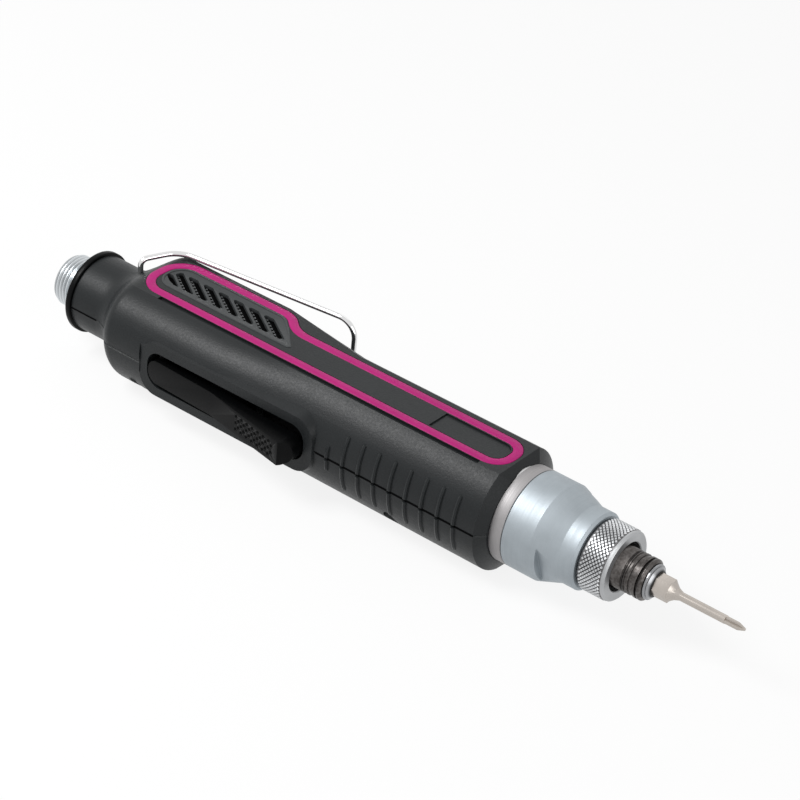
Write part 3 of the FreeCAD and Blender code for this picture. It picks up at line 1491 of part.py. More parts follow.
def build_paddle():
    """Start paddle with its raised front pad, hinge pin, switch and plunger."""
    gap = size.paddle_side_gap
    rear = gap - slot_rear
    toe = -slot_front - gap
    kink = size.paddle_kink_place - slot_rear
    heel = -(paddle_pin_x - size.paddle_hub)
    tip = toe - size.paddle_toe * 2
    inner_front = size.paddle_front_face - size.paddle_front_depth
    above = size.paddle_above
    below = size.paddle_below
    paddle = new_body("start_paddle")
    side = new_sketch(paddle, "side", "XY_Plane", -below)
    draw_outline(side, [
        (rear, -size.paddle_rear_face), (kink, -size.paddle_kink_face), (tip, -size.paddle_front_face),
        (tip + size.paddle_toe / 2, size.paddle_toe / 2 - size.paddle_front_face),
        (toe - size.paddle_toe, size.paddle_toe_drop - size.paddle_front_face),
        (toe, size.paddle_toe_drop + size.paddle_toe / 2 - size.paddle_front_face), (toe, -inner_front),
        (toe - size.paddle_front_depth * 2, -inner_front),
        (kink, size.paddle_thickness - size.paddle_kink_face),
        (heel, size.paddle_thickness - size.paddle_kink_face), (heel, size.paddle_hub - paddle_pin_y),
        (rear, size.paddle_hub - paddle_pin_y),
    ])
    extrude(paddle, "Pad", side, above + below)
    trim = new_sketch(paddle, "trim", "XZ_Plane", size.paddle_front_face + size.cut_overrun)
    corners, arcs = rounded_block(rear, toe, -below, above, size.paddle_corner)
    draw_outline(trim, corners, arcs)
    overrun = size.cut_overrun
    draw_outline(trim, block_outline(rear - overrun, toe + overrun, -below - overrun, above + overrun))
    extrude(paddle, "Pocket", trim, size.paddle_front_face)
    hole = new_sketch(paddle, "pin_hole", "XY_Plane", above + overrun)
    draw_circle(hole, -paddle_pin_x, -paddle_pin_y, size.paddle_pin_radius + size.running_clearance)
    extrude(paddle, "Pocket", hole, above + below + overrun * 2)

    pin_half = slot_half + size.paddle_pin_reach
    named("paddle_pin", cylinder("paddle_pin", size.paddle_pin_radius, pin_half * 2,
                                 -paddle_pin_x, -paddle_pin_y, -pin_half))
    body_block = block("switch_block", size.switch_length, size.switch_depth, size.switch_height,
                       -switch_rear, -switch_outer, size.switch_height / -2)
    bore = cylinder("switch_bore", size.plunger_radius + size.running_clearance, size.plunger_length,
                    -plunger_x, -switch_outer, ZERO, ALONG_Y)
    named("start_switch", cut("start_switch", body_block, bore))
    plunger_length = size.plunger_length * 2 - size.plunger_travel
    plunger_outer = size.seat_clearance - switch_outer - size.plunger_length
    named("switch_plunger", cylinder("switch_plunger", size.plunger_radius, plunger_length,
                                     -plunger_x, plunger_outer, ZERO, ALONG_Y))


def build_board():
    """Motor control board above the switch, with its larger components."""
    board = new_body("circuit_board")
    plate = new_sketch(board, "plate", "XY_Plane", board_bottom)
    half = size.board_width / 2
    corners, arcs = rounded_block(-board_rear, -board_front, -half, half, size.board_post_radius)
    draw_outline(plate, corners, arcs)
    extrude(board, "Pad", plate, size.board_thickness)
    parts = []
    chip = size.chip_length
    for number in range(CHIPS):
        parts.append(block("power_chip_%d" % number, chip, chip, size.chip_height,
                           -board_rear + chip + chip * CHIP_PITCH_SHARE * number, -chip, board_top))
    parts.append(cylinder("capacitor", size.capacitor_radius, size.capacitor_height,
                          -board_front - size.capacitor_radius * 2, ZERO, board_top))
    group("board_components", parts)


def build_rocker():
    """Reversing rocker in its switch body, on the far side."""
    frame_depth = rocker_face - rocker_body_inner
    frame = block("rocker_frame", rocker_body_half * 2, frame_depth, rocker_body_rise * 2,
                  -(rocker_x + rocker_body_half), rocker_body_inner, -rocker_body_rise)
    well_half = rocker_body_half - size.rocker_frame_wall
    rise = size.rocker_height / 2
    well = block("rocker_well", well_half * 2, size.rocker_depth + size.cut_overrun, rise * 2,
                 -(rocker_x + well_half), rocker_face - size.rocker_depth, -rise)
    pin_hole = cylinder("rocker_pin_hole", size.rocker_pin_radius, rocker_body_rise * 2,
                        -rocker_x, rocker_pivot, -rocker_body_rise)
    named("reverse_switch", cut("reverse_switch", frame, fuse("rocker_room", [well, pin_hole])))
    named("rocker_pin", cylinder("rocker_pin", size.rocker_pin_radius, rocker_body_rise * 2,
                                 -rocker_x, rocker_pivot, -rocker_body_rise))
    half = size.rocker_length / 2
    key_rise = rise - size.rocker_side_gap
    rocker = new_body("reverse_rocker")
    side = new_sketch(rocker, "side", "XY_Plane", -key_rise)
    top = rocker_face + size.rocker_proud
    base = rocker_pivot - size.rocker_pin_radius
    draw_outline(side, [
        (-rocker_x - half, top), (-rocker_x, rocker_face), (half - rocker_x, top),
        (half - rocker_x, rocker_pivot), (-rocker_x, base - size.rocker_pin_radius),
        (-rocker_x - half, rocker_pivot),
    ])
    extrude(rocker, "Pad", side, key_rise * 2)
    hole = new_sketch(rocker, "pin_hole", "XY_Plane", key_rise)
    draw_circle(hole, -rocker_x, rocker_pivot, size.rocker_pin_radius + size.running_clearance)
    extrude(rocker, "Pocket", hole, key_rise * 2)


def bent_wire(points, bends):
    """Straight runs joined by tangent arcs of the given radii at the inner points."""
    edges = []
    start = points[0]
    for before, corner, after, radius in zip(points, points[1:], points[2:], bends):
        back = (before - corner).normalize()
        ahead = (after - corner).normalize()
        opening = math.acos(max(-1, min(1, back.dot(ahead))))
        reach = radius / math.tan(opening / 2)
        entry = corner + back * reach
        leave = corner + ahead * reach
        bisector = (back + ahead).normalize()
        inside = corner + bisector * (radius / math.sin(opening / 2) - radius)
        edges.append(Part.LineSegment(start, entry).toShape())
        edges.append(Part.Arc(entry, inside, leave).toShape())
        start = leave
    edges.append(Part.LineSegment(start, points[-1]).toShape())
    return Part.Wire(edges)


def build_bail():
    """Hanging bail: one bent wire whose two pegs turn in the shoulder."""
    pivot = (-bail_pivot_x.number, SIZES["bail_pivot_offset"])
    knee = (pivot[0] + SIZES["bail_knee_place"], pivot[1] + SIZES["bail_knee_side"])
    end = (knee[0] + SIZES["bail_end_place"], knee[1] + SIZES["bail_end_side"])
    high = SIZES["bail_half_height"]
    peg = SIZES["bail_peg_end"]
    flat = [
        (pivot, peg), (pivot, high), (knee, high), (end, high),
        (end, -high), (knee, -high), (pivot, -high), (pivot, -peg),
    ]
    points = [FreeCAD.Vector(spot[0], spot[1], rise) for spot, rise in flat]
    bend = SIZES["bail_bend"]
    corner = SIZES["bail_corner"]
    knee_bend = corner * KNEE_SHARE
    path = bent_wire(points, [bend, knee_bend, corner, corner, knee_bend, bend])
    start = points[0]
    ring = Part.Wire(Part.makeCircle(SIZES["bail_wire"] / 2, start, FreeCAD.Vector(0, 0, 1)))
    shape = path.makePipeShell([ring], True, False)
    shaped("hanging_bail", shape)


# Places shared by the electronics, the rocker and the chuck
switch_front = switch_rear - size.switch_length
switch_outer = size.paddle_kink_face - size.paddle_thickness - size.plunger_length
switch_inner = switch_outer - size.switch_depth
plunger_x = switch_rear - size.switch_length / 2
board_bottom = size.switch_height / 2
board_top = board_bottom + size.board_thickness
board_front = bulkhead_rear + size.board_front_gap
board_rear = board_front + size.board_length
rocker_body_half = size.rocker_length / 2 + size.rocker_end_gap + size.rocker_frame_wall
rocker_body_rise = size.rocker_height / 2 + size.rocker_frame_wall
rocker_face = rear_half_width + size.rocker_frame_proud
rocker_body_inner = rocker_face - size.rocker_body_depth
rocker_pivot = rocker_face - size.rocker_depth / 2
sleeve_shoulder = sleeve_rear - size.sleeve_rear_gap
sleeve_pocket_front = sleeve_rear + size.sleeve_pocket_length
sleeve_spring_radius = sleeve_bore + size.sleeve_pocket_depth / 2

build_shell("upper_shell", 1)
build_shell("lower_shell", -1)
build_top_trim()
build_tail()
build_screws()
build_nose()
build_torque_ring()
build_spindle()
build_springs()
build_gears()
build_motor()
build_paddle()
build_board()
build_rocker()
build_bail()


ADDING = ("PartDesign::Pad", "PartDesign::Revolution", "PartDesign::AdditiveLoft")
CUTTING = ("PartDesign::Pocket", "PartDesign::Groove", "PartDesign::SubtractiveLoft")


def check_model():
    """Stops before anything is written if a feature failed, added nothing or cut nothing."""
    document.recompute()
    faults = []
    for feature in document.Objects:
        if "Invalid" in feature.State or "Error" in feature.State:
            faults.append("%s failed" % feature.Label)
        elif feature.TypeId in ADDING + CUTTING and feature.BaseFeature:
            gain = feature.Shape.Volume - feature.BaseFeature.Shape.Volume
            if (gain <= 0) == (feature.TypeId in ADDING):
                faults.append("%s changes nothing" % feature.Label)
    for node in NODES:
        if node.Shape.isNull() or not node.Shape.isValid() or not node.Shape.Solids:
            faults.append("%s has no valid solid" % node.Label)
    if faults:
        raise RuntimeError("; ".join(faults))


check_model()
os.makedirs("parts", exist_ok=True)
for node in NODES:
    node.Shape.exportStep("parts/%s.step" % node.Label)
print(len(NODES), "nodes written")
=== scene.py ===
import math

import bpy
from mathutils import Matrix, Vector


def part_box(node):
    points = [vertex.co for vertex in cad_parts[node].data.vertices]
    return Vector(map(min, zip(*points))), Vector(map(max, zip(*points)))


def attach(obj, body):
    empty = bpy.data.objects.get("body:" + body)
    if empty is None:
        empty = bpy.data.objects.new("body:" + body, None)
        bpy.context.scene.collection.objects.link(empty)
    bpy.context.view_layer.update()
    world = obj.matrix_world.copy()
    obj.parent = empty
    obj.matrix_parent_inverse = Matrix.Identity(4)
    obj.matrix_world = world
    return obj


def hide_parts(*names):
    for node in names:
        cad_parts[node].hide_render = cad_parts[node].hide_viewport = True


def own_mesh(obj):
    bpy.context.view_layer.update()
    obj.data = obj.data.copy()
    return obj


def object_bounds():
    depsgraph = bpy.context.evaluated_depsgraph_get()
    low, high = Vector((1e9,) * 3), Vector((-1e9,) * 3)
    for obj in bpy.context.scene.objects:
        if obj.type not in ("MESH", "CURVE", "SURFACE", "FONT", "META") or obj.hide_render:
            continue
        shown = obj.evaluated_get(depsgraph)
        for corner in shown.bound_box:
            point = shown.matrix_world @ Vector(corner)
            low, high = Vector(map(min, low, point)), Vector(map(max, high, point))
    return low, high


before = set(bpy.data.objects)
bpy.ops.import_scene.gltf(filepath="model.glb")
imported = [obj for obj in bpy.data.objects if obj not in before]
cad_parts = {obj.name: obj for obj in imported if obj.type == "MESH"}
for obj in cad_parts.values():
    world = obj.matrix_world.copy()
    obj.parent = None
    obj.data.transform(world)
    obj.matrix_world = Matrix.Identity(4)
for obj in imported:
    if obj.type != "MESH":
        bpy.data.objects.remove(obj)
CAD_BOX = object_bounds()

bl_info = {
    "name": "Electric Screwdriver",
    "version": (1, 0, 0),
    "blender": (4, 5, 0),
    "location": "View3D > Sidebar > Screwdriver",
    "description": "Dresses the packed electric screwdriver with its finishes and fine detail",
    "category": "Object",
}

FULL_TURN = 2 * math.pi
WHITE = (1, 1, 1)
MERGE_GAP = 0.00001
# Noise stays near a half, so a pattern takes its full range between these.
NOISE_LOW, NOISE_HIGH = 0.3, 0.7
SMOOTH_GRAIN = {"relief": 0.00003, "strength": 0.3}


def colour_property(name, description, colour):
    return bpy.props.FloatVectorProperty(
        name=name, description=description, subtype="COLOR", size=3, min=0, max=1, default=colour)


def length_property(name, description, length):
    return bpy.props.FloatProperty(
        name=name, description=description, subtype="DISTANCE", unit="LENGTH", min=0, default=length)


def count_property(name, description, least, count):
    return bpy.props.IntProperty(name=name, description=description, min=least, default=count)


def power_property(name, description, watts):
    return bpy.props.FloatProperty(name=name, description=description, subtype="POWER", default=watts)


class ScrewdriverColours(bpy.types.PropertyGroup):
    """Colours of the finishes"""

    housing: colour_property("Housing", "Charcoal of the moulded body", (0.0105, 0.0122, 0.0132))
    accent: colour_property("Accent band", "Magenta of the inlaid band", (0.415, 0.0108, 0.158))
    grille: colour_property("Grille", "Grey of the vent grille", (0.042, 0.0455, 0.047))
    trim: colour_property("Trim", "Black of paddle, rocker and tail ring", (0.0012, 0.0013, 0.0015))
    switches: colour_property("Switches", "Black of switches and inserts", (0.006, 0.006, 0.0065))
    # The vent's near black is partly painted shade for the dark inside of the vent.
    vent: colour_property("Vent", "Black behind the vent's strips", (0.0015, 0.0015, 0.0016))
    strips: colour_property("Strips", "Grey of the vent's punched strips", (0.12, 0.125, 0.128))
    seam: colour_property("Seam", "Black of the joint between the shells", (0.002, 0.002, 0.0022))
    nose: colour_property("Nose", "Satin anodised nose cone", (0.332, 0.366, 0.391))
    flange: colour_property("Flange", "Warm grey nose flange", (0.315, 0.306, 0.308))
    ring: colour_property("Torque ring", "Bright knurled ring", (0.51, 0.52, 0.53))
    chuck: colour_property("Chuck", "Dark turned steel of the bit sleeve", (0.125, 0.117, 0.113))
    spindle: colour_property("Spindle", "Steel of the spindle's end", (0.3, 0.305, 0.315))
    clip: colour_property("Clip", "Steel of the sleeve's clip", (0.26, 0.265, 0.275))
    bit: colour_property("Bit", "Nickel of the driver bit", (0.45, 0.413, 0.378))
    connector: colour_property("Connector", "Bright zinc of the tail connector", (0.66, 0.69, 0.71))
    bail: colour_property("Bail", "Polished wire", (0.72, 0.72, 0.72))
    steel: colour_property("Steel", "Ground steel of gears and bearings", (0.5, 0.5, 0.5))
    black_steel: colour_property("Black steel", "Motor can, pins and screws", (0.012, 0.012, 0.013))
    bronze: colour_property("Bronze", "Sintered bronze of the bushes", (0.5, 0.32, 0.14))
    copper: colour_property("Copper", "Enamelled copper of the coils", (0.6, 0.22, 0.09))
    iron: colour_property("Iron", "Laminated iron of the stator", (0.2, 0.2, 0.21))
    board: colour_property("Board", "Green of the circuit board", (0.01, 0.09, 0.035))


class ScrewdriverDetail(bpy.types.PropertyGroup):
    """Sizes of the fine detail"""

    knurl_rows: count_property("Knurl rows", "Diamonds along the torque ring", 2, 6)
    knurl_count: count_property("Knurl count", "Diamonds round the torque ring", 8, 48)
    knurl_height: length_property("Knurl height", "Height of one diamond", 0.00036)
    knurl_flank: length_property("Knurl flank", "Width of a diamond's sloped flank", 0.00026)
    thread_turns: count_property("Thread turns", "Ridges of the tail connector's thread", 1, 4)
    thread_pitch: length_property("Thread pitch", "Distance between those ridges", 0.00135)
    thread_depth: length_property("Thread depth", "Depth of the thread", 0.0006)
    hole_pitch: length_property("Hole pitch", "Distance between the screen's holes", 0.00175)
    hole_radius: length_property("Hole radius", "Radius of one hole of the screen", 0.0006)
    dimple_pitch: length_property("Dimple pitch", "Distance between the paddle's dimples", 0.0026)
    dimple_radius: length_property("Dimple radius", "Radius of the paddle's dimples", 0.00078)
    rib_count: count_property("Rib count", "Long ribs in one row of the grip", 1, 8)
    rib_pitch: length_property("Rib pitch", "Distance between the grip's ribs", 0.00595)
    rib_radius: length_property("Rib radius", "Half the width of a grip rib", 0.00072)
    seam_width: length_property("Seam width", "Width of the joint between the shells", 0.00062)
    soft_edge: length_property("Soft edge", "Rounding of moulded edges", 0.0003)
    turned_edge: length_property("Turned edge", "Rounding of turned edges", 0.0002)


class ScrewdriverStudio(bpy.types.PropertyGroup):
    """Light, floor and camera"""

    floor: colour_property("Floor", "Pale paper under the tool", (0.93, 0.93, 0.93))
    lens: bpy.props.FloatProperty(
        name="Lens", description="Focal length of the camera", subtype="DISTANCE_CAMERA", default=121.5)
    key_power: power_property("Key light", "Power of the soft light above the paddle side", 5.4)
    fill_power: power_property("Fill light", "Power of the light in front of the nose", 1.8)
    rim_power: power_property("Rim light", "Power of the light behind the body", 0.35)


def deselect_all():
    """Leaves edit mode and clears the selection."""
    if bpy.context.object and bpy.context.object.mode != "OBJECT":
        bpy.ops.object.mode_set(mode="OBJECT")
    bpy.ops.object.select_all(action="DESELECT")


def pick(piece):
    """Makes the piece active, and the only one selected."""
    deselect_all()
    piece.select_set(True)
    bpy.context.view_layer.objects.active = piece


def apply_place(piece):
    pick(piece)
    bpy.ops.object.transform_apply(location=True, rotation=True, scale=True)


def apply_modifier(piece, modifier):
    pick(piece)
    bpy.ops.object.modifier_apply(modifier=modifier.name)


def smooth(piece, degrees=35):
    pick(piece)
    bpy.ops.object.shade_smooth_by_angle(angle=math.radians(degrees))


def settled(name):
    """The primitive that was just added, named and with its place in its mesh."""
    piece = bpy.context.object
    piece.name = name
    apply_place(piece)
    return piece


def block(name, place, size, turn=(0, 0, 0)):
    deselect_all()
    bpy.ops.mesh.primitive_cube_add(size=1, location=place, rotation=turn, scale=size)
    return settled(name)


def rod(name, place, radius, height, sides):
    """An upright round bar."""
    deselect_all()
    bpy.ops.mesh.primitive_cylinder_add(
        vertices=sides, radius=radius, depth=height, location=place)
    return settled(name)


def start_chain(name, points):
    """A new object, left in edit mode, whose edges join the points in order."""
    start_size = 0.001
    deselect_all()
    bpy.ops.mesh.primitive_plane_add(size=start_size)
    piece = bpy.context.object
    piece.name = name
    piece.data.name = name
    bpy.ops.object.mode_set(mode="EDIT")
    bpy.ops.mesh.select_all(action="SELECT")
    bpy.ops.mesh.merge(type="CENTER")
    bpy.ops.transform.translate(value=points[0])
    for before, after in zip(points, points[1:]):
        step = [b - a for a, b in zip(before, after)]
        bpy.ops.mesh.extrude_region_move(TRANSFORM_OT_translate={"value": step})
    return piece


def close_mesh(gap=MERGE_GAP):
    """In edit mode: merges points that meet and turns the faces outward."""
    bpy.ops.mesh.select_all(action="SELECT")
    bpy.ops.mesh.remove_doubles(threshold=gap)
    bpy.ops.mesh.normals_make_consistent(inside=False)


def turned(name, outline, steps=96):
    """A piece turned about the spindle axis from (place, radius) pairs, left in object mode."""
    outline_gap = 0.000001
    piece = start_chain(name, [(place, 0, radius) for place, radius in outline])
    bpy.ops.mesh.select_all(action="SELECT")
    bpy.ops.mesh.remove_doubles(threshold=outline_gap)
    bpy.ops.mesh.select_all(action="SELECT")
    bpy.ops.mesh.spin(steps=steps, angle=FULL_TURN, center=(0, 0, 0), axis=(1, 0, 0))
    close_mesh()
    bpy.ops.object.mode_set(mode="OBJECT")
    return piece


def join(pieces):
    """All pieces become part of the first."""
    deselect_all()
    for piece in pieces:
        piece.select_set(True)
    bpy.context.view_layer.objects.active = pieces[0]
    bpy.ops.object.join()
    return pieces[0]


def plain_copy(node, name):
    """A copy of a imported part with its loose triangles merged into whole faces."""
    copy_gap, flat_angle = 0.000002, 0.5
    pick(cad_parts[node])
    bpy.ops.object.duplicate()
    piece = bpy.context.object
    piece.name = name
    piece.data.name = name
    bpy.ops.object.mode_set(mode="EDIT")
    bpy.ops.mesh.select_all(action="SELECT")
    bpy.ops.mesh.remove_doubles(threshold=copy_gap)
    bpy.ops.mesh.dissolve_limited(angle_limit=math.radians(flat_angle))
    bpy.ops.object.mode_set(mode="OBJECT")
    return piece


def soft_copy(node, name, width, segments=2):
    """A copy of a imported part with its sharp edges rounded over."""
    piece = plain_copy(node, name)
    round_edges(piece, width, segments)
    return piece


def round_edges(piece, width, segments=2, degrees=30):
    edge = piece.modifiers.new("rounded_edge", "BEVEL")
    edge.width = width
    edge.segments = segments
    edge.limit_method = "ANGLE"
    edge.angle_limit = math.radians(degrees)
    apply_modifier(piece, edge)
    smooth(piece)


def repeat(piece, name, offset, count):
    """Copies the piece in a row."""
    row = piece.modifiers.new(name, "ARRAY")
    row.use_relative_offset = False
    row.use_constant_offset = True
    row.constant_offset_displace = offset
    row.count = count
    apply_modifier(piece, row)


def cut_away(piece, cutter):
    """Takes the cutter's form out of the piece."""
    hollow = piece.modifiers.new("hollow", "BOOLEAN")
    hollow.operation = "DIFFERENCE"
    hollow.solver = "EXACT"
    hollow.object = cutter
    apply_modifier(piece, hollow)
    deselect_all()
    cutter.select_set(True)
    bpy.ops.object.delete()


def stand_for(piece, node, body):
    """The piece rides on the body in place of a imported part."""
    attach(piece, body)
    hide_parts(node)


def dress(piece, material):
    piece.data.materials.clear()
    piece.data.materials.append(material)


def dress_nodes(material, *nodes):
    for node in nodes:
        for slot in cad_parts[node].material_slots:
            slot.link = "OBJECT"
            slot.material = material


def finish_of(node):
    """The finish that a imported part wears."""
    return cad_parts[node].material_slots[0].material


def new_finish(name, colour, roughness, metallic=0.0, specular=0.5):
    """A material with its shader and object coordinates ready for texture nodes."""
    material = bpy.data.materials.new(name)
    material.use_nodes = True
    tree = material.node_tree
    shader = tree.nodes["Principled BSDF"]
    shader.inputs["Base Color"].default_value = (*colour, 1)
    shader.inputs["Roughness"].default_value = roughness
    shader.inputs["Metallic"].default_value = metallic
    shader.inputs["Specular IOR Level"].default_value = specular
    place = tree.nodes.new("ShaderNodeTexCoord")
    place.name = "Place"
    return material


def noise(material, scale, detail=2.0, stretch=(1, 1, 1)):
    tree = material.node_tree
    mapping = tree.nodes.new("ShaderNodeMapping")
    mapping.inputs["Scale"].default_value = stretch
    tree.links.new(tree.nodes["Place"].outputs["Object"], mapping.inputs["Vector"])
    texture = tree.nodes.new("ShaderNodeTexNoise")
    texture.inputs["Scale"].default_value = scale
    texture.inputs["Detail"].default_value = detail
    tree.links.new(mapping.outputs["Vector"], texture.inputs["Vector"])
    return texture.outputs["Fac"]


def rescale(material, value, low, high, first=0.0, last=1.0):
    """A number that goes from first to last as the value goes from low to high."""
    tree = material.node_tree
    node = tree.nodes.new("ShaderNodeMapRange")
    node.inputs["From Min"].default_value = low
    node.inputs["From Max"].default_value = high
    node.inputs["To Min"].default_value = first
    node.inputs["To Max"].default_value = last
    tree.links.new(value, node.inputs["Value"])
    return node.outputs["Result"]


def ramp(material, factor, first, last, start=0.0, end=1.0):
    """A colour that goes from first to last as the factor goes from start to end."""
    tree = material.node_tree
    node = tree.nodes.new("ShaderNodeValToRGB")
    stops = node.color_ramp.elements
    stops[0].position = start
    stops[0].color = (*first, 1)
    stops[1].position = end
    stops[1].color = (*last, 1)
    tree.links.new(factor, node.inputs["Fac"])
    return node.outputs["Color"]


def add_bump(material, height, strength, distance):
    """Lays one more layer of relief over whatever the shader has."""
    tree = material.node_tree
    shader = tree.nodes["Principled BSDF"]
    bump = tree.nodes.new("ShaderNodeBump")
    bump.inputs["Strength"].default_value = strength
    bump.inputs["Distance"].default_value = distance
    tree.links.new(height, bump.inputs["Height"])
    if shader.inputs["Normal"].is_linked:
        before = shader.inputs["Normal"].links[0].from_socket
        tree.links.new(before, bump.inputs["Normal"])
    tree.links.new(bump.outputs["Normal"], shader.inputs["Normal"])


def tone(colour, share):
    return tuple(channel * share for channel in colour)


def vary_colour(material, factor, colour, change):
    """Colour that wanders a little darker and lighter."""
    tree = material.node_tree
    wander = ramp(
        material, factor, tone(colour, 1 - change), tone(colour, 1 + change), NOISE_LOW, NOISE_HIGH)
    tree.links.new(wander, tree.nodes["Principled BSDF"].inputs["Base Color"])


def vary_roughness(material, factor, low, high):
    tree = material.node_tree
    wander = rescale(material, factor, NOISE_LOW, NOISE_HIGH, low, high)
    tree.links.new(wander, tree.nodes["Principled BSDF"].inputs["Roughness"])


def moulded_finish(name, colour, roughness, relief=0.00006, strength=0.5, specular=0.2):
    """Moulded plastic with a fine spark-eroded texture."""
    clouds, sheen, grain = 90, 1500, 1800
    tint, change = 0.07, 0.05
    material = new_finish(name, colour, roughness, specular=specular)
    vary_colour(material, noise(material, clouds, detail=3), colour, tint)
    vary_roughness(material, noise(material, sheen), roughness - change, roughness + change)
    add_bump(material, noise(material, grain), strength, relief)
    return material


def turned_finish(name, colour, roughness, lines=5200, relief=0.00002, patina=0.08):
    """Metal with fine turning lines round the spindle axis."""
    clouds, strength = 120, 0.35
    round_axis, smoother, rougher = (1, 0.004, 0.004), 0.05, 0.07
    material = new_finish(name, colour, roughness, metallic=1.0)
    rings = noise(material, lines, detail=1, stretch=round_axis)
    vary_colour(material, noise(material, clouds, detail=4), colour, patina)
    vary_roughness(material, rings, roughness - smoother, roughness + rougher)
    add_bump(material, rings, strength, relief)
    return material


def lay_over(material, factor, shade):
    """Multiplies the finish's colour by a tone that runs from the shade to white."""
    # The places of the Mix node's colour sockets, whose names it uses more than once.
    share, under, over, mixed = 0, 6, 7, 2
    tree = material.node_tree
    shader = tree.nodes["Principled BSDF"]
    before = shader.inputs["Base Color"].links[0].from_socket
    layer = tree.nodes.new("ShaderNodeMix")
    layer.data_type = "RGBA"
    layer.blend_type = "MULTIPLY"
    layer.inputs[share].default_value = 1
    tree.links.new(before, layer.inputs[under])
    tree.links.new(ramp(material, factor, shade, WHITE), layer.inputs[over])
    tree.links.new(layer.outputs[mixed], shader.inputs["Base Color"])


def paint_groove_shade(material, root, crest, shade):
    """Paints shade into the bottom of grooves that run round the spindle axis: the colour darkens
    towards the axis.
    """
    tree = material.node_tree
    split = tree.nodes.new("ShaderNodeSeparateXYZ")
    across = tree.nodes.new("ShaderNodeCombineXYZ")
    reach = tree.nodes.new("ShaderNodeVectorMath")
    reach.operation = "LENGTH"
    tree.links.new(tree.nodes["Place"].outputs["Object"], split.inputs["Vector"])
    tree.links.new(split.outputs["Y"], across.inputs["Y"])
    tree.links.new(split.outputs["Z"], across.inputs["Z"])
    tree.links.new(across.outputs["Vector"], reach.inputs[0])
    lay_over(material, rescale(material, reach.outputs["Value"], root, crest), shade)


def mottle(material, scale, shade):
    """Dark worn patches over a turned finish."""
    patch_low, patch_high = 0.35, 0.65
    patches = noise(material, scale, detail=5)
    lay_over(material, rescale(material, patches, patch_low, patch_high), shade)


def seen_by(tree, *rays):
    """A factor that is 1 for the named rays of Light Path and 0 for the others."""
    path = tree.nodes.new("ShaderNodeLightPath")
    factor = path.outputs[rays[0]]
    for ray in rays[1:]:
        either = tree.nodes.new("ShaderNodeMath")
        either.operation = "MAXIMUM"
        tree.links.new(factor, either.inputs[0])
        tree.links.new(path.outputs[ray], either.inputs[1])
        factor = either.outputs["Value"]
    return factor


